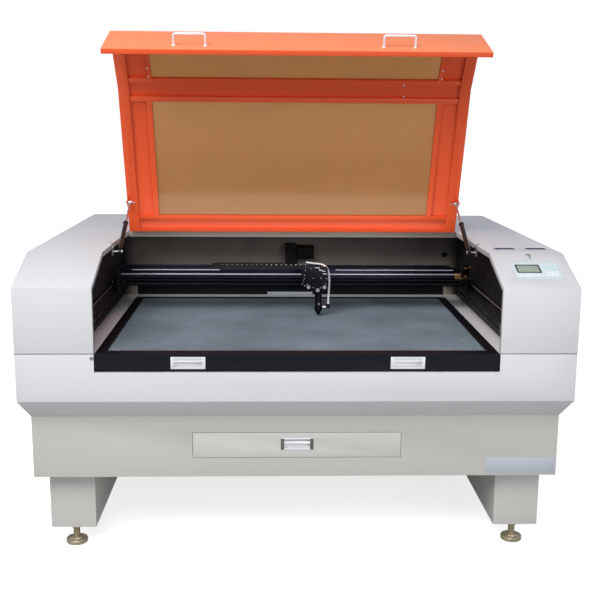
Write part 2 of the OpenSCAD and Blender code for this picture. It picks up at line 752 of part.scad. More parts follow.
module gas_cylinder_right() color("black") in_frame() gas_cylinder(1);
module gas_rod_left() color("silver") in_frame() gas_rod(-1);
module gas_rod_right() color("silver") in_frame() gas_rod(1);

// ---- Pull-out table ----

table_back = table_y + table_d;
module table_frame() color("black") in_frame() {
    inner_x = table_x - table_side_w;
    inner_y0 = table_y + table_front_w;
    inner_y1 = table_back - table_back_w;
    difference() {
        span([-table_x, table_y, table_top_z - 4], [table_x, table_back, table_top_z]);
        span([-inner_x, inner_y0, table_top_z - 5], [inner_x, inner_y1, table_top_z + 1]);
    }
    // Front panel with openings for the flush handles
    difference() {
        span([-table_x, table_y, table_top_z - table_front_h], [table_x, table_y + 4, table_top_z - 4 + eps]);
        both_sides() span([table_handle_x - cup_w / 2 + 3, table_y - 1, cup_z - cup_h / 2 + 3],
            [table_handle_x + cup_w / 2 - 3, table_y + 5, cup_z + cup_h / 2 - 3]);
    }
    low = table_top_z - 32;
    span([-inner_x, inner_y0 - 4, low], [inner_x, inner_y0, table_top_z - 4 + eps]);
    span([-inner_x, inner_y1, low], [inner_x, inner_y1 + 4, table_top_z - 4 + eps]);
    both_sides() {
        span([inner_x, inner_y0 - 4, low], [inner_x + 4, inner_y1 + 4, table_top_z - 4 + eps]);
        span([inner_x - 14, inner_y0 - eps, low], [inner_x + eps, inner_y1 + eps, low + 4]);
        // Side rail that runs on the fixed runner
        span([table_x - 4, table_y + 3, runner_z + 3 + gap], [table_x, table_back, table_top_z - 4 + eps]);
    }
    // Blades under the honeycomb
    for (k = [1:3])
        span([-inner_x, inner_y0 + k * (inner_y1 - inner_y0) / 4 - 2, low],
            [inner_x, inner_y0 + k * (inner_y1 - inner_y0) / 4 + 2, low + 10]);
}
cup_z = table_top_z - 31;

module honeycomb() color("slategray") in_frame() {
    x0 = table_x - table_side_w - gap;
    y0 = table_y + table_front_w + gap;
    y1 = table_back - table_back_w - gap;
    z0 = table_top_z - 32 + 10 + gap;
    px = 2 * x0 / (cells_x + 0.5);
    py = (y1 - y0) / cells_y;
    r = min(px / sqrt(3), py / 1.5) * 0.94;
    difference() {
        span([-x0, y0, z0], [x0, y1, table_top_z - 2]);
        for (i = [0:cells_x - 1], j = [0:cells_y - 1])
            translate([-x0 + px * (i + 0.5 + (j % 2) / 2), y0 + py * (j + 0.5), z0 - 1])
                rotate(30) cylinder(h = 40, r = r, $fn = 6);
    }
}

// Flush pull: a rimmed cup with a grip lip across its upper half
module flush_cup(w, h, y, z, depth) {
    difference() {
        union() {
            span([-w / 2, y - 1.5, z - h / 2], [w / 2, y, z + h / 2]);
            span([-w / 2 + 3.5, y - eps, z - h / 2 + 3.5], [w / 2 - 3.5, y + depth, z + h / 2 - 3.5]);
        }
        span([-w / 2 + 5.5, y - 2, z - h / 2 + 5.5], [w / 2 - 5.5, y + depth - 2, z + h / 2 - 5.5]);
    }
}
module table_handles() color("silver") in_frame() both_sides() translate([table_handle_x, 0, 0]) {
    flush_cup(cup_w, cup_h, table_y, cup_z, 20);
    span([-cup_w / 2 + 5, table_y - 1, cup_z + 5], [cup_w / 2 - 5, table_y + 1, cup_z + cup_h / 2 - 5]);
}

module table_runner() {
    span([table_x - 32, 30, runner_z], [opening_x + 3, table_back - 19, runner_z + 3]);
    span([opening_x + gap, 30, runner_z], [opening_x + 3, table_back - 19, deck_z - sheet]);
}

// ---- Drawer ----

drawer_y = chamfer_front;
tray_x = drawer_x - 15;
tray_z = drawer_z + 3;
drawer_cup_z = drawer_z + 49;
module drawer() color("gainsboro") in_frame() {
    difference() {
        span([-drawer_x, drawer_y, drawer_z], [drawer_x, drawer_y + sheet, drawer_z + drawer_h]);
        span([-54.5, drawer_y - 1, drawer_cup_z - 19.5], [54.5, drawer_y + sheet + 1, drawer_cup_z + 19.5]);
    }
    difference() {
        span([-tray_x, drawer_y + sheet - eps, tray_z], [tray_x, drawer_y + drawer_d, tray_z + 74]);
        span([-tray_x + 2, drawer_y + sheet - 1, tray_z + 2],
            [tray_x - 2, drawer_y + drawer_d - 2, tray_z + 75]);
    }
}
module drawer_handle() color("silver") in_frame() {
    flush_cup(114, 45, drawer_y, drawer_cup_z, 20);
    rod_x(-52, 52, drawer_y + 6, drawer_cup_z + 3, 5);
}
module drawer_runner() {
    span([tray_x + 1, drawer_y + sheet + 3, stand_z + sheet], [tray_x + 4, drawer_y + drawer_d + 40, tray_z + 10]);
    span([tray_x - 25, drawer_y + sheet + 3, tray_z - 3 - gap],
        [tray_x + 4, drawer_y + drawer_d + 40, tray_z - gap]);
}

// Angles that the table and the drawer slide on, on both sides
module slide_runners() color("gray") in_frame() both_sides() {
    table_runner();
    drawer_runner();
}

// ---- Gantry ----

module x_beam() color("midnightblue") in_frame() {
    y0 = beam_y;
    y1 = beam_y + beam_d;
    z0 = beam_z;
    z1 = beam_z + beam_h;
    difference() {
        across(-beam_x, beam_x) polygon([
            [y0, z0], [y1, z0], [y1, z0 + 30], [y1 - 8, z0 + 30], [y1 - 8, z0 + 38], [y1, z0 + 38],
            [y1, z1 - 16], [y1 - 8, z1 - 16], [y1 - 8, z1 - 8], [y1, z1 - 8], [y1, z1], [y0, z1]]);
        rod_y(y0 - 1, y1 + 1, -x_belt_x, x_belt_z, 5);
    }
    // Tray for the cable chain
    tx1 = beam_x - 50;
    across(-beam_x + 14, tx1) polygon([
        [y0 + 2, z1 - eps], [y0 + 2, z1 + 7], [y0 + 3.5, z1 + 7], [y0 + 3.5, z1 + 1.5],
        [chain_back_y + 8, z1 + 1.5], [chain_back_y + 8, z1 + 7],
        [chain_back_y + 9.5, z1 + 7], [chain_back_y + 9.5, z1 - eps]]);
}
x_rail_z = beam_z + 44;
module x_rail() color("lavender") in_frame() {
    c = rail_s / 2;
    across(-beam_x + 4, beam_x - 8) translate([beam_y, x_rail_z]) polygon([
        [0, -c], [0, c], [-rail_s, c], [-rail_s, c * 0.55], [-rail_s + 4, c * 0.2],
        [-rail_s + 4, -c * 0.2], [-rail_s, -c * 0.55], [-rail_s, -c]]);
}
module gantry_end(side) {
    yc = beam_y + beam_d / 2;
    // Linear block, a channel round three sides of the rail
    difference() {
        span([block_x, yc - 32, rail_z - 17], [wall_x - 4, yc + 32, rail_z + 17]);
        span([rail_x - gap, yc - 33, rail_z - rail_s / 2 - gap],
            [wall_x + 1, yc + 33, rail_z + rail_s / 2 + gap]);
    }
    // End plate and the clamp on the belt's upper run
    span([beam_x, beam_y - 22, rail_z - 22], [block_x + eps, beam_y + beam_d + 10, beam_z + beam_h + 12]);
    span([y_belt_x - 5, yc - 12, shaft_z + y_pulley_r + 1 + gap], [y_belt_x + 5, yc + 12, rail_z - 17 + eps]);
    // Bearing of the drive shaft on the left, axle of the idler on the right
    difference() {
        union() {
            rod_y(x_belt_y + 8, beam_y, x_belt_x, x_belt_z, 6);
            span([x_belt_x, x_belt_y + 8, x_belt_z - 6], [beam_x + eps, beam_y, x_belt_z + 6]);
            if (side > 0) rod_y(x_belt_y - 9, x_belt_y + 8 + eps, x_belt_x, x_belt_z, 3);
        }
        if (side < 0) rod_y(x_belt_y, beam_y + 1, x_belt_x, x_belt_z, 3 + run_fit);
    }
}
x_belt_y = beam_y - 11;
x_belt_x = beam_x - 14;
x_belt_z = beam_z + 18;
module gantry_end_left() color("black") in_frame() mirror([1, 0, 0]) gantry_end(-1);
module gantry_end_right() color("black") in_frame() gantry_end(1);

module belt_oval_x(y0, y1, r) {
    rod_y(y0, y1, -x_belt_x, x_belt_z, r);
    rod_y(y0, y1, x_belt_x, x_belt_z, r);
    span([-x_belt_x, y0, x_belt_z - r], [x_belt_x, y1, x_belt_z + r]);
}
module x_belt() color("black") in_frame() difference() {
    belt_oval_x(x_belt_y - 4, x_belt_y + 4, x_pulley_r + 1);
    belt_oval_x(x_belt_y - 5, x_belt_y + 5, x_pulley_r - 1);
}
module x_pulley(x, bore) difference() {
    union() {
        rod_y(x_belt_y - 5, x_belt_y + 5, x, x_belt_z, x_pulley_r - 1 - gap);
        rod_y(x_belt_y - 7, x_belt_y - 5, x, x_belt_z, x_pulley_r + 2);
        rod_y(x_belt_y + 5, x_belt_y + 7, x, x_belt_z, x_pulley_r + 2);
    }
    rod_y(x_belt_y - 8, x_belt_y + 8, x, x_belt_z, bore);
}
module x_drive_pulley() color("silver") in_frame() {
    x_pulley(-x_belt_x, 2);
    rod_y(x_belt_y - 8, beam_y + beam_d + 10 - gap, -x_belt_x, x_belt_z, 3);
}
module x_idler_pulley() color("silver") in_frame() x_pulley(x_belt_x, 3 + run_fit);
module x_motor() color("black") in_frame() {
    y1 = beam_y + beam_d;
    c = 8;
    // Bracket round the shaft, then the motor
    difference() {
        span([-beam_x + eps, y1, x_belt_z - 12], [-beam_x + 40, y1 + 10 + eps, x_belt_z + 12]);
        rod_y(y1 - 1, y1 + 10, -x_belt_x, x_belt_z, 6);
    }
    translate([-x_belt_x - 14, 0, x_belt_z - 28]) along(y1 + 10, y1 + 68)
        polygon([[c, 0], [57 - c, 0], [57, c], [57, 57 - c], [57 - c, 57], [c, 57], [0, 57 - c], [0, c]]);
}
module end_mirror_mount() color("black") in_frame() {
    z1 = beam_z + beam_h;
    right = beam_x - gap;
    // Foot on the beam with a stiffening edge
    span([end_mirror_x - 10, lens_y + 6, z1], [right, beam_y + 38, z1 + 2.5]);
    span([right - 3, lens_y + 6, z1], [right, beam_y + 38, z1 + 16]);
    // Upright with a hole for the laser's path, and the mirror's cell
    difference() {
        span([end_mirror_x - 20, lens_y + 6, z1 - 28], [right, lens_y + 14, z1 + 32]);
        rod_y(lens_y + 5, lens_y + 15, end_mirror_x, light_z, 8);
    }
    translate([end_mirror_x - 3, lens_y - 6, light_z]) rotate([0, 0, 45]) cube([42, 8, 46], center = true);
}

// ---- Carriage ----

module carriage() color("dimgray") in_frame() {
    front = beam_y - rail_s - 15;
    arm_z = chain_z + chain_h + 1 + gap;
    // Block round three sides of the beam's rail
    difference() {
        span([carriage_x - 32, front + 5 - eps, x_rail_z - 16], [carriage_x + 32, beam_y - 4, x_rail_z + 16]);
        span([carriage_x - 33, beam_y - rail_s - gap, x_rail_z - rail_s / 2 - gap],
            [carriage_x + 33, beam_y, x_rail_z + rail_s / 2 + gap]);
    }
    // Front plate with rows of tapped holes
    difference() {
        span([carriage_x - 46, front, beam_z + 4], [carriage_x + 46, front + 5, arm_z + eps]);
        for (i = [-1.5:1.5], j = [0:3])
            rod_y(front - 20, front + 10, carriage_x + i * 24, beam_z + 14 + j * 18, 2.5);
    }
    // Arm over the tray, with a lug at the chain's end and a saddle for the hose
    span([carriage_x - 24, front, arm_z], [carriage_x + 10, chain_front_y + 6, arm_z + 3]);
    span([chain_end_x + 2 + gap, chain_front_y - 6, chain_z + gap],
        [chain_end_x + 5, chain_front_y + 6, arm_z + eps]);
    span([carriage_x - 22, chain_front_y - 16, arm_z + 3 - eps],
        [carriage_x - 10, chain_front_y - 4, hose_z - hose_d / 2 - gap]);
    // Clamp on the belt's upper run
    span([carriage_x + 34, front + 5 - eps, x_belt_z + x_pulley_r + 1 + gap],
        [carriage_x + 46, x_belt_y + 4, x_belt_z + x_pulley_r + 6]);
}

module mirror_head() color("dimgray") in_frame() {
    y1 = beam_y - rail_s - 15;
    difference() {
        union() {
            // Mirror housing with a bevelled back corner
            span([lens_x - 22, lens_y - 20, light_z - 30], [lens_x + 22, y1, light_z + 14]);
            // Ring that clamps the lens tube
            translate([lens_x, lens_y, light_z - 92]) cylinder(h = 63, r = lens_d / 2 + 5);
        }
        translate([lens_x, lens_y, light_z - 100]) cylinder(h = 108, r = lens_d / 2 + run_fit);
        rod_x(lens_x, lens_x + 30, lens_y, light_z, 9);
        span([lens_x - 23, lens_y + 22, light_z + 5], [lens_x + 23, y1 - 8, light_z + 15]);
    }
    // Adjusting plate in front
    difference() {
        along(lens_y - 30, lens_y - 20 + eps) translate([lens_x, light_z]) polygon([
            [-58, 22], [30, 22], [36, 14], [36, -48], [14, -86], [-14, -86], [-38, -70], [-64, -30], [-64, 12]]);
        for (p = [[-50, 8], [-50, -24], [-26, -56], [28, -44], [28, 10], [-20, 12]])
            rod_y(lens_y - 31, lens_y - 19, lens_x + p[0], light_z + p[1], 3);
    }
}

module lens_tube() color("black") in_frame() translate([lens_x, lens_y, 0]) {
    tip = table_top_z + nozzle_gap;
    difference() {
        union() {
            translate([0, 0, tip + 28]) cylinder(h = light_z - 34 - tip - 28, r = lens_d / 2);
            translate([0, 0, tip + 16]) cylinder(h = 20, r = lens_d / 2 + 1.5);
            translate([0, 0, tip]) cylinder(h = 16 + eps, r1 = 6, r2 = lens_d / 2 - 1);
        }
        translate([0, 0, tip - 1]) cylinder(h = 8, r = 1.5);
        translate([0, 0, tip + 6]) cylinder(h = 24, r = 3);
        translate([0, 0, tip + 28]) cylinder(h = light_z, r = 8);
    }
    // Air fitting at the side
    rod_x(lens_d / 2 - 3, 44, 0, tip + 32, 4);
    translate([40, 0, tip + 26]) cylinder(h = 18, r = 7);
}

module air_hose() color("white") in_frame() {
    r = hose_d / 2;
    bend = 30;
    x1 = lens_x + 40;
    z1 = hose_z;
    run = (chain_front_y - 10 - lens_y) * sqrt(2);
    z0 = table_top_z + nozzle_gap + 44 + gap;
    translate([x1, lens_y, z0]) cylinder(h = z1 - bend - z0, r = r);
    // The bend and the straight stretch run back and to the left at 45 degrees
    translate([x1, lens_y, z1 - bend]) rotate([0, 0, 135]) {
        translate([bend, 0, 0]) rotate([90, 0, 0]) rotate([0, 0, 90])
            rotate_extrude(angle = 90) translate([bend, 0]) circle(r = r);
        translate([bend, 0, bend]) rotate([0, 90, 0]) cylinder(h = run - bend, r = r);
    }
}

// ---- Cable chain ----

module chain_link() {
    w = 12;
    h = chain_h;
    difference() {
        translate([-link_p / 2 + 1, -w / 2, 0]) cube([link_p - 2, w, h]);
        translate([-link_p / 2 + 5, -w / 2 + 2, 2]) cube([link_p - 10, w - 4, h]);
    }
    translate([link_p / 2 - 2, -w / 2 + 2, 3]) cube([4, w - 4, h - 6]);
    translate([0, -w / 2 + 1.2, h - eps]) cylinder(h = 1, r = 1.2, $fn = 16);
    translate([0, w / 2 - 1.2, h - eps]) cylinder(h = 1, r = 1.2, $fn = 16);
}
module cable_chain() color("black") in_frame() {
    bend_links = 4;
    translate([0, 0, chain_z]) {
        for (i = [0:links_moving - 1])
            translate([chain_end_x - link_p * (i + 0.5), chain_front_y, 0]) chain_link();
        for (i = [0:links_fixed - 1])
            translate([chain_bend_x + link_p * (i + 0.5), chain_back_y, 0]) chain_link();
        for (i = [0:bend_links - 1]) {
            a = 270 - 180 * (i + 0.5) / bend_links;
            translate([chain_bend_x + chain_r * cos(a), chain_front_y + chain_r + chain_r * sin(a), 0])
                rotate(a + 90) chain_link();
        }
        // The joints between the links in the bend, as one curved strip
        translate([chain_bend_x, chain_front_y + chain_r, 3]) {
            rotate([0, 0, 90]) rotate_extrude(angle = 180) translate([chain_r - 3.5, 0]) square([7, 9]);
            for (s = [-1, 1]) translate([-eps, s * chain_r - 3.5, 0]) cube([3, 7, 9]);
        }
    }
}

lower_housing();
stand();
left_leg();
right_leg();
left_housing();
right_housing();
rear_bridge();
rear_cover();
rear_panel();
exhaust_spigot();
chamber_liner();
rear_apron();
tube_deck();
laser_tube();
y_rails();
y_belts();
y_motor();
y_drive_case();
control_panel();
control_display();
panel_meters();
slide_runners();
hinge_base();
spring_brackets();
lid_shell();
window_frames();
large_window();
small_window();
lid_handles();
hinge_flaps();
gas_cylinder_left();
gas_rod_left();
gas_cylinder_right();
gas_rod_right();
table_frame();
honeycomb();
table_handles();
drawer();
drawer_handle();
x_beam();
x_rail();
gantry_end_left();
gantry_end_right();
x_belt();
x_motor();
end_mirror_mount();
x_drive_pulley();
x_idler_pulley();
y_shaft();
y_idler_left();
y_idler_right();
carriage();
mirror_head();
cable_chain();
air_hose();
lens_tube();
foot_front_left();
foot_front_right();
foot_back_left();
foot_back_right();
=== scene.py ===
# %% [markdown]
# # A laser engraving machine, dressed in Blender
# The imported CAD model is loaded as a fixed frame. Every part of it already
# has its true size and place. This lesson gives each part its finish, and
# models the fine pieces that the solids leave out: screws, cells, keys,
# knobs and soft edges. All lengths are in metres in the same frame as the
# CAD, with +X to the right, +Y to the back and +Z up.

# %% Load the frame
import json
import math
import bpy
from mathutils import Matrix, Vector

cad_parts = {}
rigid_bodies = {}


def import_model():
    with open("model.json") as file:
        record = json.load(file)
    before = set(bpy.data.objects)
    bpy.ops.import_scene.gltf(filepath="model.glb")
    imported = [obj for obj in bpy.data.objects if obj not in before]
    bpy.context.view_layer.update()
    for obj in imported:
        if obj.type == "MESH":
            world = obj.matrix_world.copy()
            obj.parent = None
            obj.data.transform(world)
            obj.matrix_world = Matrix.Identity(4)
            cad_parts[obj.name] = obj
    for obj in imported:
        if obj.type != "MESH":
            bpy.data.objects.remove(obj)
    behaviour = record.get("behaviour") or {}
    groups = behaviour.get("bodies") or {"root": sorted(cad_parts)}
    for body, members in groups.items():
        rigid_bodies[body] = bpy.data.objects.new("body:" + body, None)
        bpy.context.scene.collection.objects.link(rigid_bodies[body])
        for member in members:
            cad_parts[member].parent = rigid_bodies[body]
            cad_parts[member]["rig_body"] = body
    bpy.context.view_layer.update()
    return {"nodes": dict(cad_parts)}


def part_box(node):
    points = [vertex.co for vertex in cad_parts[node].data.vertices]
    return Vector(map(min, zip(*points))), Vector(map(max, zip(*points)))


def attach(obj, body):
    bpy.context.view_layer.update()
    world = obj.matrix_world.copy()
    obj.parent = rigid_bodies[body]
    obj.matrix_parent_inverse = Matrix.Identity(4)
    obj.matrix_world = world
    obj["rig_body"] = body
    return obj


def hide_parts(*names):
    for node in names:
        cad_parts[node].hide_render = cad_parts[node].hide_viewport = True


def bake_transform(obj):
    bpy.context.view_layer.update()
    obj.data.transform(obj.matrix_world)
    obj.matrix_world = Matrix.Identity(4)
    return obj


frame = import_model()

# %% [markdown]
# ## A way to name places
# The machine is drawn in millimetres from the floor, with x from its middle
# and y from the front face of its housing. One function turns such a place
# into the frame's metres, so that each piece is placed with plain numbers.
# The front face's own place is read from the frame.

# %% Millimetres from the front face
MM = 0.001
FRONT_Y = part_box("lower_housing")[0].y
HINGE_Y, HINGE_Z = 850.0, 1073.3
LID_OPEN = math.radians(70)


def at(x, y, z):
    """A place in millimetres from the middle of the housing's front edge."""
    return Vector((x * MM, FRONT_Y + y * MM, z * MM))


HINGE = Matrix.Translation(at(0, HINGE_Y, HINGE_Z))
OPENED = HINGE @ Matrix.Rotation(-LID_OPEN, 4, "X") @ HINGE.inverted()
print("front face at y =", round(FRONT_Y, 4), "m")

# %% [markdown]
# ## The hand tools
# An operator acts on whatever is selected, so each step begins by selecting
# one piece only. A finished piece has its object at the origin, with its
# place in its mesh, as a CAD node has. Edges of real parts are never
# perfectly sharp, so most pieces end with a narrow bevel.

# %% Select, settle and soften
def pick(*objects):
    """Select only these objects; the first becomes the active one."""
    for other in list(bpy.context.selected_objects):
        other.select_set(False)
    for obj in objects:
        obj.select_set(True)
    bpy.context.view_layer.objects.active = objects[0] if objects else None


def settle(obj):
    """Put the object's place, turn and scale into its mesh."""
    pick(obj)
    bpy.ops.object.transform_apply(location=True, rotation=True, scale=True)
    return obj


def soften(obj, width, segments=2, angle=30):
    """Round the sharp edges by width millimetres and shade them smoothly."""
    pick(obj)
    edge = obj.modifiers.new("edge", "BEVEL")
    edge.width, edge.segments = width * MM, segments
    edge.limit_method, edge.angle_limit = "ANGLE", math.radians(angle)
    edge.harden_normals = False
    bpy.ops.object.modifier_apply(modifier=edge.name)
    bpy.ops.object.shade_smooth_by_angle(angle=math.radians(angle))
    return obj


def select_faces(obj, test):
    """Select the faces whose centre and normal pass the test, for edit mode."""
    mesh = obj.data
    for part in (mesh.vertices, mesh.edges):
        part.foreach_set("select", [False] * len(part))
    for face in mesh.polygons:
        face.select = bool(test(face.center, face.normal))
    bpy.context.tool_settings.mesh_select_mode = (False, False, True)
    pick(obj)


# %% Blocks, turned parts, copies and joins
def block(name, low, high, edge=0.8, segments=2):
    """A box between two places in millimetres, with softened edges."""
    a, b = at(*low), at(*high)
    pick()
    bpy.ops.mesh.primitive_cube_add(size=1, location=(a + b) / 2)
    obj = bpy.context.object
    obj.name = name
    obj.scale = b - a
    settle(obj)
    return soften(obj, edge, segments) if edge else obj


def turned(name, foot, along, steps, sides=32, angle=30):
    """Extrude a filled circle step by step; steps are (height, radius) in mm."""
    pick()
    bpy.ops.mesh.primitive_circle_add(
        vertices=sides, radius=steps[0][1] * MM, fill_type="NGON")
    obj = bpy.context.object
    obj.name = name
    bpy.ops.object.mode_set(mode="EDIT")
    bpy.ops.mesh.select_all(action="SELECT")
    height, radius = 0.0, steps[0][1]
    for z, r in steps[1:]:
        bpy.ops.mesh.extrude_region_move(
            TRANSFORM_OT_translate={"value": (0, 0, (z - height) * MM)})
        if r != radius:
            bpy.ops.transform.resize(
                value=(r / radius, r / radius, 1), center_override=(0, 0, z * MM))
        height, radius = z, r
    bpy.ops.mesh.select_all(action="SELECT")
    bpy.ops.mesh.normals_make_consistent(inside=False)
    bpy.ops.object.mode_set(mode="OBJECT")
    bpy.ops.object.shade_smooth_by_angle(angle=math.radians(angle))
    turn = Vector((0, 0, 1)).rotation_difference(Vector(along))
    obj.matrix_world = Matrix.Translation(at(*foot)) @ turn.to_matrix().to_4x4()
    return settle(obj)


def join(name, *objects):
    """Join finished pieces into one mesh."""
    pick(*objects)
    if len(objects) > 1:
        bpy.ops.object.join()
    objects[0].name = name
    return objects[0]


def copies(source, name, moves):
    """A copy of the source at each move, each with its own mesh, joined."""
    made = []
    for move in moves:
        twin = bpy.data.objects.new(name, source.data.copy())
        bpy.context.collection.objects.link(twin)
        twin.data.transform(move)
        if move.determinant() < 0:
            twin.data.flip_normals()
        made.append(twin)
    bpy.data.objects.remove(source)
    return join(name, *made)


def shift(x, y, z):
    """A move by millimetres."""
    return Matrix.Translation(Vector((x, y, z)) * MM)


MIRROR = Matrix.Scale(-1, 4, (1, 0, 0))


def both_sides(obj):
    """Add the mirror image of a piece on the machine's other side."""
    return copies(obj, obj.name, [Matrix.Identity(4), MIRROR])


def from_cad(node, edge=0.0, segments=2, angle=30):
    """A cleaned copy of a CAD node's mesh, with its edges softened."""
    obj = bpy.data.objects.new(node + "_skin", frame["nodes"][node].data.copy())
    bpy.context.collection.objects.link(obj)
    pick(obj)
    bpy.ops.object.mode_set(mode="EDIT")
    bpy.ops.mesh.select_all(action="SELECT")
    bpy.ops.mesh.remove_doubles(threshold=2e-6)
    bpy.ops.mesh.dissolve_limited(angle_limit=math.radians(0.5))
    bpy.ops.object.mode_set(mode="OBJECT")
    if edge:
        soften(obj, edge, segments, angle)
    else:
        bpy.ops.object.shade_smooth_by_angle(angle=math.radians(angle))
    return obj


def finish_piece(obj, material, body, slot, *nodes):
    """Give the piece its finish and its body, and hide the CAD nodes it stands in for; the slot is not
    used.
    """
    obj.data.materials.clear()
    obj.data.materials.append(material)
    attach(obj, body)
    if nodes:
        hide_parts(*nodes)
    print(obj.name, len(obj.data.polygons), "faces on", body)
    return obj


# %% [markdown]
# ## Camera, light and floor
# The machine is seen from the front, a little left of its middle and from
# about eye height, through a long lens. A very large soft light above the
# front stands for a bright workshop ceiling, and a weak one fills the front.
# A small lamp over the bed stands for light that the bed throws at the lid.
# The floor and the world are almost white.

# %% Camera
PITCH, YAW, ROLL = (math.radians(a) for a in (10.97, 1.86, 0.43))
forward = Vector((math.sin(YAW) * math.cos(PITCH), math.cos(YAW) * math.cos(PITCH),
                  -math.sin(PITCH)))
right = Vector((math.cos(YAW), -math.sin(YAW), 0))
upward = right.cross(forward)
across = right * math.cos(ROLL) + upward * math.sin(ROLL)
above = upward * math.cos(ROLL) - right * math.sin(ROLL)
lens = bpy.data.cameras.new("camera")
lens.lens, lens.sensor_width = 57.0, 36.0
lens.dof.use_dof = False
camera = bpy.data.objects.new("camera", lens)
camera.matrix_world = Matrix.Translation((-0.097, -3.905, 1.543)) @ Matrix(
    (across, above, -forward)).transposed().to_4x4()
bpy.context.scene.collection.objects.link(camera)
bpy.context.scene.camera = camera
bpy.context.scene.view_settings.view_transform = "Standard"

# %% Colours, and one function that adds a shader node
def linear(code):
    """An sRGB hex colour such as D4D5D8 as linear red, green, blue, alpha."""
    parts = [int(code[i:i + 2], 16) / 255 for i in (0, 2, 4)]
    return [c / 12.92 if c <= 0.04045 else ((c + 0.055) / 1.055) ** 2.4
            for c in parts] + [1.0]


def add(tree, kind, inputs=None, links=None, **settings):
    """Add a node; inputs are values by socket, links are (node, output)."""
    made = tree.nodes.new("ShaderNode" + kind)
    for key, value in settings.items():
        setattr(made, key, value)
    for key, value in (inputs or {}).items():
        made.inputs[key].default_value = value
    for key, (source, output) in (links or {}).items():
        tree.links.new(source.outputs[output], made.inputs[key])
    return made


# %% Noise, colour drift and relief
def bare(name):
    """A new material, its shader, and object coordinates to hang noise on."""
    made = bpy.data.materials.new(name)
    made.use_nodes = True
    tree = made.node_tree
    return made, tree, tree.nodes["Principled BSDF"], add(tree, "TexCoord")


def noise(tree, place, size_mm, stretch=(1, 1, 1), detail=2.0):
    """Noise whose lumps are size_mm across, stretched along the axes."""
    mapped = add(tree, "Mapping", {"Scale": [1 / s for s in stretch]},
                 {"Vector": (place, "Object")})
    return add(tree, "TexNoise", {"Scale": 1000 / size_mm, "Detail": detail},
               {"Vector": (mapped, "Vector")})


def vary(tree, source, low, high, socket, tight=0.3):
    """Spread a noise between two values and send it to a shader socket."""
    spread = add(tree, "MapRange", {"From Min": tight, "From Max": 1 - tight,
                                    "To Min": low, "To Max": high},
                 {"Value": (source, "Fac")})
    tree.links.new(spread.outputs["Result"], socket)
    return spread


def tint(tree, shader, code, drift, source):
    """Colour that drifts between code and a darker shade of it by a noise."""
    colour = linear(code)
    dark = [c * (1 - drift) for c in colour[:3]] + [1.0]
    mixed = add(tree, "Mix", {"A": dark, "B": colour}, {"Factor": (source, "Fac")},
                data_type="RGBA")
    tree.links.new(mixed.outputs[2], shader.inputs["Base Color"])
    return mixed


def relief(tree, shader, source, depth_mm, strength=1.0):
    """Raise the surface by a noise, depth_mm high."""
    bump = add(tree, "Bump", {"Strength": strength, "Distance": depth_mm * MM},
               {"Height": (source, "Fac")})
    tree.links.new(bump.outputs["Normal"], shader.inputs["Normal"])
    return bump


# %% Soft light
def soft_light(name, place, target, size, power, tall=None):
    """A large lamp at a place, facing a target; square unless tall is given."""
    lamp = bpy.data.lights.new(name, "AREA")
    lamp.shape, lamp.size, lamp.size_y = "RECTANGLE", size, tall or size
    lamp.energy = power
    obj = bpy.data.objects.new(name, lamp)
    obj.location = place
    aim = Vector(target) - Vector(place)
    obj.rotation_euler = aim.to_track_quat("-Z", "Y").to_euler()
    obj.visible_camera = False
    bpy.context.scene.collection.objects.link(obj)


soft_light("ceiling", (-1.4, -3.7, 4.1), (0, 0, 0.8), 3.0, 185)
soft_light("right_fill", (2.4, -4.6, 1.2), (0, 0, 0.9), 2.2, 32)
soft_light("table_bounce", (0, -0.12, 1.06), (0, 0.0, 1.28), 1.2, 0.5, 0.1)

# %% A white world and a pale floor
world = bpy.data.worlds.new("studio")
world.use_nodes = True
bpy.context.scene.world = world
sky = world.node_tree.nodes["Background"]
seen = add(world.node_tree, "LightPath")
through = add(world.node_tree, "Math", None, None, operation="MAXIMUM")
world.node_tree.links.new(seen.outputs["Is Camera Ray"], through.inputs[0])
world.node_tree.links.new(seen.outputs["Is Transmission Ray"], through.inputs[1])
glow = add(world.node_tree, "MapRange", {"To Min": 0.5, "To Max": 1.0},
           {"Value": (through, "Value")})
world.node_tree.links.new(glow.outputs["Result"], sky.inputs["Strength"])
daylight = add(world.node_tree, "Mix", {"A": linear("F0F4FF"), "B": linear("FFFFFF")},
               {"Factor": (through, "Value")}, data_type="RGBA")
world.node_tree.links.new(daylight.outputs[2], sky.inputs["Color"])
pick()
bpy.ops.mesh.primitive_plane_add(size=60, location=(0, 0, 0))
floor = bpy.context.object
floor.name = "floor"
floor_paint, floor_tree, floor_shader, floor_place = bare("white_floor_paint")
floor_shader.inputs["Roughness"].default_value = 0.9
shown = add(floor_tree, "LightPath")
pale = add(floor_tree, "Mix", {"A": linear("A6A6A4"), "B": linear("FDFDFC")},
           {"Factor": (shown, "Is Camera Ray")}, data_type="RGBA")
floor_tree.links.new(pale.outputs[2], floor_shader.inputs["Base Color"])
relief(floor_tree, floor_shader, noise(floor_tree, floor_place, 160), 0.4, 0.2)
floor_shader.inputs["Emission Color"].default_value = linear("FFFFFF")
lift = add(floor_tree, "MapRange", {"To Min": 0.05, "To Max": 0.7},
           {"Value": (shown, "Is Camera Ray")})
floor_tree.links.new(lift.outputs["Result"], floor_shader.inputs["Emission Strength"])
floor.data.materials.append(floor_paint)
print("camera at", tuple(round(c, 3) for c in camera.location))

# %% [markdown]
# ## Finishes
# Most of the machine is folded steel sheet under powder paint. The powder
# melts into a skin that is not quite level, an orange peel of a few
# millimetres, so highlights on it are soft and slightly uneven. Its colour
# also drifts a little over a big panel. Both come from noise on Object
# coordinates, whose scale is one over the real size of the pattern.

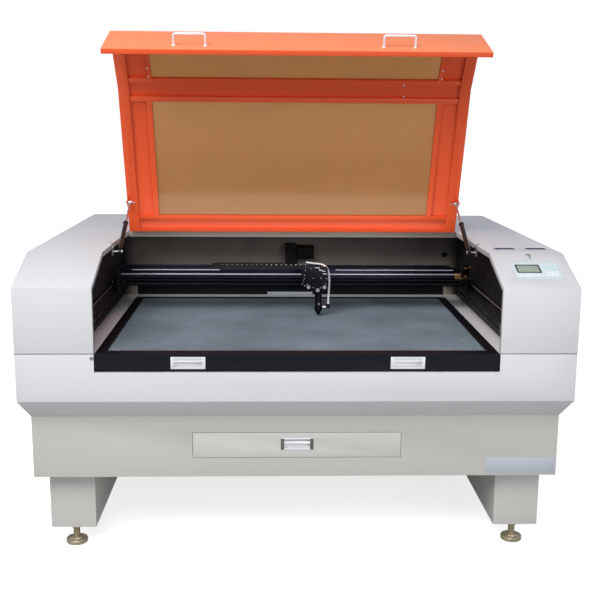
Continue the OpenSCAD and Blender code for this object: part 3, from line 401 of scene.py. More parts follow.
# %% Painted sheet
def powder_paint(name, code, rough, drift=0.06, peel_mm=4.0, depth_mm=0.05):
    """Baked powder paint: satin, a fine orange peel, a faint drift of tone."""
    made, tree, shader, place = bare(name)
    tint(tree, shader, code, drift, noise(tree, place, 420, detail=4))
    vary(tree, noise(tree, place, 60), rough - 0.05, rough + 0.07,
         shader.inputs["Roughness"])
    relief(tree, shader, noise(tree, place, peel_mm), depth_mm)
    shader.inputs["IOR"].default_value = 1.5
    return made


# The peel of real powder paint is 1 to 3 mm; 4 to 5 mm is drawn, so that it shows.
housing_paint = powder_paint("light_grey_powder_paint", "DADADB", 0.42)
stand_paint = powder_paint("warm_grey_powder_paint", "CFCDC7", 0.5, 0.07)
# The skirt is drawn a darker shade of the legs' paint: painted shade under the housing's overhang; on the
# machine both are one paint.
skirt_paint = powder_paint("warm_grey_skirt_paint_as_painted_shade", "C3C0B9", 0.5, 0.07)
lid_paint = powder_paint("orange_powder_paint", "F25A28", 0.42, 0.08)
# The bridge is drawn a dark beige grey, not the housing's light grey: painted shade under the lid.
bridge_paint = powder_paint("beige_grey_bridge_paint_as_painted_shade", "A89E92", 0.5)
table_paint = powder_paint("blue_black_powder_paint", "10131A", 0.55, 0.15)
black_enamel = powder_paint("black_enamel", "0E0D10", 0.6, 0.2)
spring_enamel = powder_paint("glossy_black_spring_enamel", "101014", 0.16, 0.1)
# These two are duller than fresh paint, as they would be under cutting dust.
for dulled in (table_paint, black_enamel):
    dulled.node_tree.nodes["Principled BSDF"].inputs["Specular IOR Level"].default_value = 0.2

# %% [markdown]
# The outside of the visor is a paler orange than the rest: a painted
# highlight, standing for the sheen of bright light on its face. It is one
# plane, so the second colour is mixed in where a point's distance along
# that plane's normal puts it on the outer skin, within about half a millimetre.

# %% Painted highlight on the outside of the visor
visor_normal = OPENED.to_3x3() @ Vector((0, -1, 0))
visor_depth = visor_normal.dot(OPENED @ at(0, 0, 900))
lid_tree = lid_paint.node_tree
lid_shader = lid_tree.nodes["Principled BSDF"]
lid_place = add(lid_tree, "TexCoord")
along_normal = add(lid_tree, "VectorMath", {1: visor_normal}, {0: (lid_place, "Object")},
                   operation="DOT_PRODUCT")
on_skin = add(lid_tree, "MapRange", {"From Min": visor_depth - 0.0006,
                                     "From Max": visor_depth - 0.0003},
              {"Value": (along_normal, "Value")})
lid_colour = lid_shader.inputs["Base Color"].links[0].from_node
# The paler orange FB8A58 is a painted highlight on the visor's outer face.
visor_painted_highlight = add(lid_tree, "Mix", {"B": linear("FB8A58")},
               {"Factor": (on_skin, "Result")}, data_type="RGBA")
lid_tree.links.new(lid_colour.outputs[2], visor_painted_highlight.inputs[6])
lid_tree.links.new(visor_painted_highlight.outputs[2], lid_shader.inputs["Base Color"])

# %% [markdown]
# The chamber is painted black too. Its walls are drawn pale low down and
# brown-dark higher up: painted light where the front light reaches the
# lower wall, and painted shade above, under the bridge and the lid. The
# object's own height, through a noise that makes its edge uneven, blends
# the two. The side walls, past 0.69 m from the middle, are drawn near
# black, as painted shade.

# %% Chamber walls: painted light low down, painted shade above and at the sides
chamber_paint, wall_tree, wall_shader, wall_place = bare("black_chamber_paint_with_painted_light_and_shade")
wall_xyz = add(wall_tree, "SeparateXYZ", None, {"Vector": (wall_place, "Object")})
cloud = noise(wall_tree, wall_place, 160, detail=4)
edge_height = add(wall_tree, "Math", {1: 0.10}, {0: (cloud, "Fac")}, operation="MULTIPLY")
ragged = add(wall_tree, "Math", None, {0: (wall_xyz, "Z"), 1: (edge_height, "Value")},
             operation="ADD")
height = add(wall_tree, "MapRange", {"From Min": 0.86, "From Max": 1.09},
             {"Value": (ragged, "Value")})
# Pale low down, brown-dark above: painted light and painted shade by height.
wall_painted_light_and_shade = add(wall_tree, "Mix", {"A": linear("A89C90"), "B": linear("4C423B")},
           {"Factor": (height, "Result")}, data_type="RGBA")
sideways = add(wall_tree, "Math", None, {0: (wall_xyz, "X")}, operation="ABSOLUTE")
side_wall = add(wall_tree, "MapRange", {"From Min": 0.69, "From Max": 0.743},
                {"Value": (sideways, "Value")})
# Near-black side walls: painted shade.
side_wall_painted_shade = add(wall_tree, "Mix", {"B": linear("151413")}, {"Factor": (side_wall, "Result")},
            data_type="RGBA")
wall_tree.links.new(wall_painted_light_and_shade.outputs[2], side_wall_painted_shade.inputs[6])
wall_tree.links.new(side_wall_painted_shade.outputs[2], wall_shader.inputs["Base Color"])
vary(wall_tree, noise(wall_tree, wall_place, 60), 0.45, 0.65, wall_shader.inputs["Roughness"])
relief(wall_tree, wall_shader, noise(wall_tree, wall_place, 5), 0.08)

# %% [markdown]
# Metals get their look from how they were worked. Turned and drawn steel has
# fine lines along one way, which stretch its highlights. The lines are noise
# squeezed across them and stretched along them. Anodised aluminium is
# etched before it is dyed, so it is duller and has no lines.

# %% Metals
def worked_metal(name, code, rough, grain_mm=0.8, stretch=(40, 1, 1), drift=0.12,
                 depth_mm=0.01, wear=0.1, metallic=1.0):
    """Bare metal whose working lines run along the stretched axis."""
    made, tree, shader, place = bare(name)
    shader.inputs["Metallic"].default_value = metallic
    tint(tree, shader, code, drift, noise(tree, place, 35, detail=3))
    lines = noise(tree, place, grain_mm, stretch)
    vary(tree, lines, rough - wear * 0.5, rough + wear, shader.inputs["Roughness"])
    relief(tree, shader, lines, depth_mm)
    return made


rail_steel = worked_metal("blackened_rail_steel", "4B4860", 0.3, 1.2, (60, 1, 1))
# A pale, half-metallic strip: a painted highlight along the rails.
raceway_painted_highlight = worked_metal("pale_raceway_painted_highlight", "EAE6F4", 0.3, 1.2, (60, 1, 1),
                             metallic=0.5)
long_rail_steel = worked_metal("oiled_rail_steel_lengthwise", "36353C", 0.4, 1.2, (1, 60, 1))
zinc_steel = worked_metal("zinc_plated_steel", "C4C4C2", 0.38, 6, (1, 1, 1), 0.2)
bright_steel = worked_metal("bright_nickel_plate", "E4E4E6", 0.16, 2, (30, 1, 1), 0.05)
satin_nickel = worked_metal("satin_nickel_handles", "F2F2F4", 0.45, 3, (1, 1, 1), 0.04,
                            metallic=0.45)
cast_socket = worked_metal("grey_cast_sockets", "6E6D66", 0.5, 4, (1, 1, 1), 0.3,
                           metallic=0.4)
plate_aluminium = worked_metal("matt_plate_aluminium", "C2C7CE", 0.55, 0.8, (60, 1, 1), 0.05,
                               metallic=0.25)
rod_chrome = worked_metal("hard_chromed_rod", "D8D8DC", 0.12, 1, (1, 1, 1), 0.04)
foot_steel = worked_metal("yellow_zinc_plated_steel", "DCCFB2", 0.34, 3, (1, 1, 1), 0.3,
                          metallic=0.7)
worked_aluminium = worked_metal("milled_aluminium", "B8B9BC", 0.34, 1.0, (1, 30, 1), 0.1)
brass = worked_metal("turned_brass", "B08D62", 0.34, 1.0, (1, 1, 20), 0.2)
screw_steel = worked_metal("nickel_plated_screws", "DFE0E4", 0.25, 1, (1, 1, 1), 0.05)


def anodised(name, code, rough, drift=0.2, metallic=0.85):
    """Dyed anodised aluminium: a dull metallic dark skin without lines."""
    made, tree, shader, place = bare(name)
    shader.inputs["Metallic"].default_value = metallic
    tint(tree, shader, code, drift, noise(tree, place, 120, detail=3))
    vary(tree, noise(tree, place, 8), rough - 0.05, rough + 0.08,
         shader.inputs["Roughness"])
    relief(tree, shader, noise(tree, place, 1.2), 0.012)
    return made


beam_anodised = anodised("black_violet_anodised_beam", "222030", 0.3)
head_anodised = anodised("black_anodised_head", "26262B", 0.42)
case_black = anodised("black_oxide_steel", "17171A", 0.5, 0.3, 0.5)

# %% [markdown]
# Plastics and rubber are not metals: their colour comes from within and
# their skin repeats the mould's texture. The chain and the belts are matt,
# the air hose is smooth and lets a little light into it.

# %% Plastics, rubber and glass
def moulded(name, code, rough, texture_mm=1.5, depth_mm=0.03, drift=0.1, scatter=0.0):
    """Moulded plastic or rubber with the fine texture of its mould."""
    made, tree, shader, place = bare(name)
    tint(tree, shader, code, drift, noise(tree, place, 50))
    vary(tree, noise(tree, place, 12), rough - 0.04, rough + 0.08,
         shader.inputs["Roughness"])
    relief(tree, shader, noise(tree, place, texture_mm), depth_mm)
    shader.inputs["IOR"].default_value = 1.5
    if scatter:
        shader.inputs["Subsurface Weight"].default_value = scatter
        shader.inputs["Subsurface Scale"].default_value = 0.004
    return made


chain_nylon = moulded("black_nylon_chain", "1C1C1F", 0.5)
belt_rubber = moulded("black_belt_rubber", "161616", 0.75, 2.5)
hose_plastic = moulded("white_polyurethane_hose", "F2F3F6", 0.3, 6, 0.02, 0.04, 0.3)
meter_plastic = moulded("dark_blue_tinted_meter_cover", "2B3052", 0.2, 8, 0.01)
key_mint = moulded("mint_membrane_keys", "BDE0DA", 0.4, 2.0, 0.02, 0.05)
key_edge = moulded("blue_grey_membrane_edge", "BFCFD8", 0.4, 2.0, 0.02, 0.05)
key_white = moulded("white_membrane_keys", "F0F6F2", 0.4, 2.0, 0.02, 0.03)
membrane = moulded("pale_blue_polyester_membrane", "DDE8ED", 0.38, 2.0, 0.02, 0.05)

amber_acrylic, amber_tree, amber_shader, amber_place = bare("amber_cast_acrylic")
tint(amber_tree, amber_shader, "D99D60", 0.12, noise(amber_tree, amber_place, 500))
vary(amber_tree, noise(amber_tree, amber_place, 90), 0.16, 0.26,
     amber_shader.inputs["Roughness"])
relief(amber_tree, amber_shader, noise(amber_tree, amber_place, 25), 0.02)
amber_shader.inputs["IOR"].default_value = 1.49
amber_shader.inputs["Transmission Weight"].default_value = 0.5

tube_glass, glass_tree, glass_shader, glass_place = bare("borosilicate_tube_glass")
tint(glass_tree, glass_shader, "E8F0F4", 0.05, noise(glass_tree, glass_place, 80))
vary(glass_tree, noise(glass_tree, glass_place, 60), 0.02, 0.08,
     glass_shader.inputs["Roughness"])
glass_shader.inputs["IOR"].default_value = 1.47
glass_shader.inputs["Transmission Weight"].default_value = 0.8

lcd_glass, lcd_tree, lcd_shader, lcd_place = bare("grey_green_display_glass")
tint(lcd_tree, lcd_shader, "A3AF9E", 0.12, noise(lcd_tree, lcd_place, 30))
dots = add(lcd_tree, "TexVoronoi", {"Scale": 1000 / 1.5, "Randomness": 0.0},
           {"Vector": (lcd_place, "Object")})
vary(lcd_tree, noise(lcd_tree, lcd_place, 20), 0.1, 0.18, lcd_shader.inputs["Roughness"])
lcd_bump = add(lcd_tree, "Bump", {"Strength": 0.3, "Distance": 0.00002},
               {"Height": (dots, "Distance")})
lcd_tree.links.new(lcd_bump.outputs["Normal"], lcd_shader.inputs["Normal"])
print("finishes:", len(bpy.data.materials))

# %% [markdown]
# ## Folded sheet: housings, stand, legs, lid and table frame
# These are steel sheets of about 2 mm, folded and welded. Their shapes are
# right in the CAD, but folded sheet always has a small radius along its
# bends. A copy of each CAD mesh is merged, its flat triangles are dissolved
# into whole faces, and a narrow bevel rounds the edges, so that they catch
# a thin line of light.

# %% Skins for the sheet parts
SHEET_PARTS = [
    # node, finish, slot, edge radius
    ("lower_housing", housing_paint, "housing_paint", 0.9),
    ("left_housing", housing_paint, "housing_paint", 0.9),
    ("right_housing", housing_paint, "housing_paint", 0.9),
    ("rear_cover", housing_paint, "housing_paint", 0.9),
    ("rear_panel", housing_paint, "housing_paint", 0.5),
    # The stand's darker paint is painted shade under the overhang.
    ("stand", skirt_paint, "skirt_paint", 0.6),
    ("left_leg", stand_paint, "skirt_paint", 0.9),
    ("right_leg", stand_paint, "skirt_paint", 0.9),
    ("drawer", stand_paint, "skirt_paint", 0.3),
    # The bridge's darker paint is painted shade.
    ("rear_bridge", bridge_paint, "bridge_paint", 0.9),
    ("lid_shell", lid_paint, "lid_paint", 0.5),
    ("window_frames", lid_paint, "lid_paint", 0.4),
    ("table_frame", table_paint, "table_paint", 0.8),
    ("x_beam", beam_anodised, "anodised_dark", 0.6),
]
skins = {}
for node, material, slot, radius in SHEET_PARTS:
    skins[node] = finish_piece(from_cad(node, radius), material,
                               frame["nodes"][node]["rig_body"], slot, node)

# %% [markdown]
# ## Parts that keep their CAD shape
# Rails, belts, motors, runners, windows and springs are plain or round
# shapes that the solids already give exactly. They only need a finish,
# which is put on the CAD node's own material slots.

# %% Finishes on CAD nodes
NODE_FINISH = {
    "chamber_liner": chamber_paint, "rear_apron": black_enamel, "tube_deck": zinc_steel,
    "laser_tube": tube_glass, "y_rails": long_rail_steel, "y_belts": belt_rubber,
    "y_motor": black_enamel, "y_drive_case": case_black, "control_panel": membrane,
    "control_display": lcd_glass, "panel_meters": meter_plastic,
    "slide_runners": zinc_steel, "exhaust_spigot": zinc_steel, "hinge_base": zinc_steel,
    "hinge_flaps": zinc_steel, "spring_brackets": zinc_steel,
    "large_window": amber_acrylic, "small_window": amber_acrylic,
    "lid_handles": satin_nickel, "table_handles": satin_nickel,
    "drawer_handle": satin_nickel, "gas_cylinder_left": spring_enamel,
    "gas_cylinder_right": spring_enamel, "gas_rod_left": rod_chrome,
    "gas_rod_right": rod_chrome, "x_rail": rail_steel, "gantry_end_left": case_black,
    "gantry_end_right": case_black, "x_belt": belt_rubber, "x_motor": black_enamel,
    "x_drive_pulley": head_anodised, "x_idler_pulley": head_anodised,
    "y_shaft": zinc_steel, "y_idler_left": worked_aluminium,
    "y_idler_right": worked_aluminium, "carriage": head_anodised,
    "mirror_head": head_anodised, "cable_chain": chain_nylon, "air_hose": hose_plastic,
    "lens_tube": head_anodised, "foot_front_left": foot_steel,
    "foot_front_right": foot_steel, "foot_back_left": foot_steel,
    "foot_back_right": foot_steel, "honeycomb": zinc_steel,
    "end_mirror_mount": head_anodised,
}
for node, material in NODE_FINISH.items():
    obj = frame["nodes"][node]
    obj.data.materials.clear()
    obj.data.materials.append(material)
left_over = [n for n in frame["nodes"] if n not in NODE_FINISH and n not in skins]
print("nodes without a finish:", left_over)

# %% [markdown]
# ## The honeycomb table
# The work lies on a sheet of aluminium honeycomb: thin foil walls around
# thousands of small hexagonal cells. Real cells are 6 to 10 mm across; they
# are drawn at 17 mm, which is as fine as the view can show. One cell is a
# hexagon that is inset and pulled down into a tube. Two Array modifiers
# repeat it, the doubles are merged, and bisect cuts the sheet to its frame.

# %% One cell
CELL, WALL, COMB_TOP, COMB_DEEP = 17.0, 0.75, 752.0, 19.0
comb_low, comb_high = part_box("honeycomb")
pick()
bpy.ops.mesh.primitive_circle_add(vertices=6, radius=CELL / math.sqrt(3) * MM,
                                  fill_type="NGON")
comb = bpy.context.object
comb.name = "honeycomb_cells"
select_faces(comb, lambda centre, normal: True)
bpy.ops.object.mode_set(mode="EDIT")
bpy.ops.mesh.inset(thickness=WALL * MM)
bpy.ops.mesh.extrude_region_move(
    TRANSFORM_OT_translate={"value": (0, 0, -COMB_DEEP * MM)})
bpy.ops.mesh.delete(type="FACE")
bpy.ops.object.mode_set(mode="OBJECT")
print("one cell:", len(comb.data.polygons), "faces")

# %% Rows, columns and the cut edge
row = CELL * math.sqrt(3) / 2
pair = copies(comb, "honeycomb_cells", [shift(0, 0, 0), shift(CELL / 2, row, 0)])
columns = math.ceil((comb_high.x - comb_low.x) / (CELL * MM)) + 2
rows = math.ceil((comb_high.y - comb_low.y) / (2 * row * MM)) + 1
for axis, count, step in ((0, columns, CELL), (1, rows, 2 * row)):
    array = pair.modifiers.new("repeat", "ARRAY")
    array.use_relative_offset, array.use_constant_offset = False, True
    array.constant_offset_displace = [step * MM if k == axis else 0 for k in range(3)]
    array.count = count
    array.use_merge_vertices, array.merge_threshold = True, 1e-5
    pick(pair)
    bpy.ops.object.modifier_apply(modifier=array.name)
pair.location = (comb_low.x - CELL * MM, comb_low.y - row * MM, COMB_TOP * MM)
settle(pair)
bpy.ops.object.mode_set(mode="EDIT")
for place, normal in ((comb_low, (-1, 0, 0)), (comb_low, (0, -1, 0)),
                      (comb_high, (1, 0, 0)), (comb_high, (0, 1, 0))):
    bpy.ops.mesh.select_all(action="SELECT")
    bpy.ops.mesh.bisect(plane_co=place, plane_no=normal, clear_outer=True)
bpy.ops.mesh.select_all(action="SELECT")
bpy.ops.mesh.remove_doubles(threshold=1e-5)
bpy.ops.object.mode_set(mode="OBJECT")
print("honeycomb:", len(pair.data.polygons), "faces")

# %% Foil: oxidised aluminium, smoked by the laser
foil, foil_tree, foil_shader, foil_place = bare("smoked_aluminium_foil")
foil_shader.inputs["Metallic"].default_value = 0.55
foil_patch = noise(foil_tree, foil_place, 260, detail=4)
foil_mix = add(foil_tree, "Mix", {"A": linear("8593A0"), "B": linear("C8D6E0")},
               {"Factor": (foil_patch, "Fac")}, data_type="RGBA")
foil_tree.links.new(foil_mix.outputs[2], foil_shader.inputs["Base Color"])
vary(foil_tree, noise(foil_tree, foil_place, 30), 0.35, 0.55,
     foil_shader.inputs["Roughness"])
relief(foil_tree, foil_shader, noise(foil_tree, foil_place, 4), 0.05)
finish_piece(pair, foil, "table", "honeycomb_aluminium", "honeycomb")

# %% [markdown]
# ## Screws
# Small round-headed screws hold nearly everything. One head is a filled
# circle pulled up in three steps and closed by a sunk socket, and is then
# copied wherever it is needed. The places of the copies come from lists.

# %% One screw head and its copies
FRONTWARD, BACKWARD, UPWARD = (0, -1, 0), (0, 1, 0), (0, 0, 1)


def screw_head(radius, facing=FRONTWARD, sides=12):
    """A domed head with a socket, its seat at the frame's origin."""
    r, h = radius, radius * 0.7
    head = turned("screw", (0, 0, 0), facing,
                  [(0, r), (h * 0.7, r), (h, r * 0.75), (h, r * 0.42), (h * 0.6, r * 0.36)],
                  sides)
    head.data.transform(Matrix.Translation(-at(0, 0, 0)))
    return head


def screws(name, radius, places, facing=FRONTWARD, sides=12):
    """Screw heads of one size at places in millimetres."""
    return copies(screw_head(radius, facing, sides), name,
                  [Matrix.Translation(at(*p)) for p in places])


# %% [markdown]
# ## The laser head
# The beam comes along the gantry, meets a mirror in the head and turns down
# through the lens. The head is a black plate with an adjusting screw at
# each corner, a mirror block behind it, and a tube below with a clamp ring,
# a nozzle and an elbow for the air hose. The plate's outline is drawn as a
# flat face, extruded and bevelled; the round parts are turned.

# %% Mirror block and front plate
LENS_X, LENS_Y, LIGHT_Z = 98.0, 637.0, 935.0
OUTLINE = [(-58, 22), (30, 22), (36, 14), (36, -48), (14, -86), (-14, -86),
           (-38, -70), (-64, -30), (-64, 12)]


def plate(name, outline, y0, y1, edge):
    """A flat plate: its x, z outline as one face, extruded towards the back."""
    mesh = bpy.data.meshes.new(name)
    mesh.from_pydata([at(x, y0, z) for x, z in outline], [], [range(len(outline))])
    obj = bpy.data.objects.new(name, mesh)
    bpy.context.collection.objects.link(obj)
    pick(obj)
    bpy.ops.object.mode_set(mode="EDIT")
    bpy.ops.mesh.select_all(action="SELECT")
    bpy.ops.mesh.extrude_region_move(
        TRANSFORM_OT_translate={"value": (0, (y1 - y0) * MM, 0)})
    bpy.ops.mesh.select_all(action="SELECT")
    bpy.ops.mesh.normals_make_consistent(inside=False)
    bpy.ops.object.mode_set(mode="OBJECT")
    return soften(obj, edge)


front = plate("front", [(LENS_X + x, LIGHT_Z + z) for x, z in OUTLINE],
              LENS_Y - 30, LENS_Y - 20, 1.2)
house = block("house", (LENS_X - 22, LENS_Y - 20.5, LIGHT_Z - 30),
              (LENS_X + 22, 690, LIGHT_Z + 14), 1.2)
port = turned("port", (LENS_X + 21.5, LENS_Y, LIGHT_Z), (1, 0, 0),
              [(0, 14), (1.5, 14), (1.5, 10), (-4, 10)])
clamp = turned("clamp", (LENS_X, LENS_Y, 843), UPWARD,
               [(0, 15.4), (0, 18), (1, 19), (27, 19), (27, 17), (30, 17), (30, 19),
                (62.5, 19)], 40)
ear = block("ear", (LENS_X - 5, LENS_Y - 26, 846), (LENS_X + 5, LENS_Y - 15, 862), 1)
head = join("laser_head", front, house, port, clamp, ear)
finish_piece(head, head_anodised, "carriage_body", "cast_dark", "mirror_head")

# %% Screws round the plate, adjusting knobs and clips
rim = [(-54, 8), (-58, -12), (-58, -26), (-46, -48), (-32, 14), (-14, 17), (30, -8),
       (30, -26), (26, -46), (-22, -24), (8, -24), (-22, -62), (8, -62), (-6, 17)]
heads = screws("head_screws", 2.3, [(LENS_X + x, LENS_Y - 30, LIGHT_Z + z) for x, z in rim])
finish_piece(heads, screw_steel, "carriage_body", "polished_steel")

KNOB = [(0, 3), (5, 3), (5, 7.2), (6, 8), (13, 8), (14, 7), (14, 3.4), (12.5, 3)]
knob = turned("knob", (0, 0, 0), FRONTWARD, KNOB, 20)
knob.data.transform(Matrix.Translation(-at(0, 0, 0)))
knobs = copies(knob, "mirror_knobs", [
    Matrix.Translation(at(LENS_X + x, LENS_Y - 30, LIGHT_Z + z))
    for x, z in ((-41, -58), (22, -58), (-5, -70))])
finish_piece(knobs, screw_steel, "carriage_body", "polished_steel")

clips = [block("clip", (LENS_X + x, LENS_Y - 38, LIGHT_Z + z),
               (LENS_X + x + 13, LENS_Y - 28, LIGHT_Z + z + 5), 1)
         for x, z in ((-11, 15), (0, 6), (12, 2), (14, -8))]
finish_piece(join("mirror_clips", *clips), bright_steel, "carriage_body", "polished_steel")

# %% Carriage plate beside the head
side_places = [(x, 690, z) for x in (39.5, 112.5) for z in (886, 904, 922, 938)]
side_places += [(131 - 12, 690, 874), (36, 690, 874), (46, 690, 866), (104, 690, 866)]
side_places += [(148, 690.5, z) for z in (874, 887, 900)]
carriage_screws = screws("carriage_screws", 2.4, side_places)
side_plate = plate("side_plate", [(116, 906), (154, 906), (154, 870), (146, 866), (116, 866)],
                   690.5, 693, 0.5)
finish_piece(side_plate, head_anodised, "carriage_body", "cast_dark")
finish_piece(carriage_screws, screw_steel, "carriage_body", "polished_steel")
skins["carriage"] = finish_piece(from_cad("carriage", 0.6), head_anodised,
                                 "carriage_body", "cast_dark", "carriage")

# %% Lens tube with rings, scale, nozzle and air elbow
# The tube ends inside the clamp, low enough to clear the mirror block when raised.
TIP = 759.0
tube = turned("tube", (LENS_X, LENS_Y, TIP), UPWARD, [
    (0, 3.2), (0, 6), (3, 7.4), (15, 12.8), (16, 15), (17, 15.5), (35, 15.5), (36, 14.6),
    (36, 14), (64, 14), (64, 15), (67, 15), (67, 14), (126, 14)], 40)
grooves = [turned("groove", (LENS_X, LENS_Y, TIP + z), UPWARD,
                  [(0, 15.4), (0, 16), (1.6, 16), (1.6, 15.4)], 40) for z in (20, 24, 28)]
elbow = turned("elbow", (LENS_X + 10, LENS_Y, TIP + 32), (1, 0, 0),
               [(0, 4), (20, 4), (20, 6), (26, 6), (26, 4.4), (34, 4.4)], 20)
socket = turned("socket", (LENS_X + 40, LENS_Y, TIP + 26), UPWARD,
                [(0, 5.5), (1, 7), (12, 7), (13, 6.2), (17.6, 6.2)], 24)
tube_piece = join("lens_tube_turned", tube, *grooves, elbow, socket)
finish_piece(tube_piece, head_anodised, "lens", "cast_dark", "lens_tube")
fitting = turned("fitting", (LENS_X + 18, LENS_Y - 1, TIP + 31), (0.9, -0.25, 0),
                 [(0, 5.4), (6, 5.4), (6, 7), (11, 7), (11, 5), (14, 5)], 6)
thumb = turned("thumb", (LENS_X + 2, LENS_Y - 12, TIP + 46), FRONTWARD,
               [(0, 2.4), (3, 2.4), (3, 4.4), (8, 4.4), (8, 2)], 16)
finish_piece(join("air_fitting", fitting, thumb), screw_steel, "lens", "cast_dark")

# %% [markdown]
# ## The air hose
# A white polyurethane hose brings air to the nozzle. It leaves the chain,
# rises in an arch and drops to the elbow. It is one curve with a round
# bevel, made a mesh.

# %% Air hose
HOSE_PATH = [(52, 723, 957), (66, 709, 956.5), (82, 693, 957), (98, 677, 958),
             (111, 664, 957.5), (123, 652, 953.5), (131.5, 643.5, 945), (136.5, 639, 933),
             (138.8, 637.2, 920), (140, 636.4, 898), (140, 636.4, 870), (139, 636.7, 840),
             (138, 637, 820), (138, 637, 803.4)]
curve = bpy.data.curves.new("air_hose_line", "CURVE")
curve.dimensions = "3D"
curve.bevel_depth, curve.bevel_resolution, curve.resolution_u = 4.2 * MM, 4, 6
curve.use_fill_caps = True
line = curve.splines.new("BEZIER")
line.bezier_points.add(len(HOSE_PATH) - 1)
for point, place in zip(line.bezier_points, HOSE_PATH):
    point.co = at(*place)
    point.handle_left_type = point.handle_right_type = "AUTO"
hose = bpy.data.objects.new("air_hose_tube", curve)
bpy.context.collection.objects.link(hose)
pick(hose)
bpy.ops.object.convert(target="MESH")
bpy.ops.object.mode_set(mode="EDIT")
bpy.ops.mesh.select_all(action="SELECT")
bpy.ops.mesh.remove_doubles(threshold=1e-6)
bpy.ops.mesh.normals_make_consistent(inside=False)
bpy.ops.object.mode_set(mode="OBJECT")
hose.data.materials.clear()
hose.data.materials.append(hose_plastic)
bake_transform(hose)
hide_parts("air_hose")
print("air hose:", len(hose.data.polygons), "faces")
cuff = turned("hose_cuff", (LENS_X + 40, LENS_Y, TIP + 40), UPWARD,
              [(0, 5.2), (6, 5.2), (6, 4.6), (8, 4.6)], 20)
finish_piece(cuff, key_white, "lens", "hose_plastic")

# %% [markdown]
# ## The cable chain
# The chain carries the hose along the gantry. Its front run is pulled by the
# carriage, its back run lies still, and the bend between them rolls along at
# half speed. It is cut in two at the bend.

# %% Two halves, with white pins
def chain_half(name, keep):
    """Half of the chain, cut by a plane through the middle of its bend."""
    half = from_cad("cable_chain", 0.4, 1)
    middle = (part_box("cable_chain")[0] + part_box("cable_chain")[1]) / 2
    pick(half)
    bpy.ops.object.mode_set(mode="EDIT")
    bpy.ops.mesh.select_all(action="SELECT")
    bpy.ops.mesh.bisect(plane_co=middle, plane_no=(0, -keep, 0), clear_outer=True,
                        use_fill=True)
    bpy.ops.object.mode_set(mode="OBJECT")
    half.name = name
    half.data.materials.clear()
    half.data.materials.append(chain_nylon)
    return half


CHAIN_Y, LINK, RUN_END, BEND_X = (733.0, 789.0), 20.0, 60.0, -300.0
moving_run = chain_half("chain_moving_run", -1)
fixed_run = chain_half("chain_fixed_run", 1)
pin_shape = [(0, 2.0), (0.9, 2.0), (1.4, 1.3)]
pins = []
for name, y, count, start, way in (("chain_pins_moving", CHAIN_Y[0], 18, RUN_END, -1),
                                   ("chain_pins_fixed", CHAIN_Y[1], 13, BEND_X, 1)):
    pin = turned("pin", (0, 0, 0), UPWARD, pin_shape, 10)
    pin.data.transform(Matrix.Translation(-at(0, 0, 0)))
    pins.append(copies(pin, name, [Matrix.Translation(at(start + way * LINK * (k + 0.5),
                                                         y + s * 4.8, 944.9))
                                   for k in range(count) for s in (-1, 1)
                                   if k < 9 or s > 0]))
    pins[-1].data.materials.append(key_white if "moving" in name else chain_nylon)
for obj, a, b, start, end in (
        (moving_run, "gantry", "carriage_body", -716, RUN_END),
        (pins[0], "gantry", "carriage_body", -716, RUN_END),
        (fixed_run, "gantry", "carriage_body", -40, -616),
        (pins[1], "gantry", "carriage_body", -40, -616)):
    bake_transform(obj)
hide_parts("cable_chain")
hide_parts("cable_chain")

# %% [markdown]
# ## Control panel, meters and locks
# The panel is a printed polyester membrane on a plate set into the slope.
# It has a liquid crystal display in a dark frame and a block of raised keys.
# Pieces on the slope are drawn on a level sheet, with x across and y up the
# slope, and one matrix then lays them on it.

# %% The slope as a place to work
FRONT_BEND, TOP, SLOPE_DEEP = 981.0, 1067.0, 230.0
SLOPE_ANGLE = math.atan2(TOP - FRONT_BEND, SLOPE_DEEP)
SLOPE = (Matrix.Translation(at(0, SLOPE_DEEP, TOP)) @ Matrix.Rotation(SLOPE_ANGLE, 4, "X")
         @ Matrix.Translation(-at(0, 0, 0)))
PANEL_X, PANEL_S = 825.5, 71.0


def laid(obj):
    """Lay a piece that was drawn level onto the slope."""
    obj.data.transform(SLOPE)
    return obj


def key(x, y, w, h, high=1.6):
    """A raised key with a rounded edge, in panel millimetres."""
    return block("key", (PANEL_X + x - w / 2, -PANEL_S - y - h / 2, 1.2),
                 (PANEL_X + x + w / 2, -PANEL_S - y + h / 2, 1.2 + high), 1.3, 3)


# %% Bezel, keys and display window
rim_out = block("rim", (PANEL_X - 69.5, -PANEL_S - 71.5, 1.0),
                (PANEL_X + 15.0, -PANEL_S - 16, 3.0), 0)
select_faces(rim_out, lambda centre, normal: normal.z > 0.9)
bpy.ops.object.mode_set(mode="EDIT")
bpy.ops.mesh.inset(thickness=4.6 * MM)
bpy.ops.mesh.extrude_region_move(TRANSFORM_OT_translate={"value": (0, 0, -1.6 * MM)})
bpy.ops.object.mode_set(mode="OBJECT")
finish_piece(laid(soften(rim_out, 0.6)), case_black, "machine", "black_plastic")
finish_piece(laid(block("display_glass", (PANEL_X - 65.4, -PANEL_S - 67.6, 1.3),
                        (PANEL_X + 10.9, -PANEL_S - 20.0, 2.2), 0.3)),
             lcd_glass, "machine", "display")
arrows = [(36, 26), (62, 26), (49, 38), (36, 50), (62, 50)]
mint_keys = [key(x, y, 10, 9) for x, y in arrows]
mint_keys += [key(x, y, 5, 4) for x in (27, 71) for y in (32, 44)]
finish_piece(laid(join("mint_keys", *mint_keys)), key_mint, "machine", "membrane")
white_keys = [key(x, y, 11, 8) for x in (34, 49, 64) for y in (68, 84)]
white_keys += [key(x, 88, 15, 7) for x in (-60, -41, -22, -3)]
finish_piece(laid(join("white_keys", *white_keys)), key_white, "machine", "membrane")
border = block("border", (PANEL_X - 80, -PANEL_S - 104.5, 1.2),
               (PANEL_X + 80, -PANEL_S - 1.5, 1.9), 0)
select_faces(border, lambda centre, normal: normal.z > 0.9)
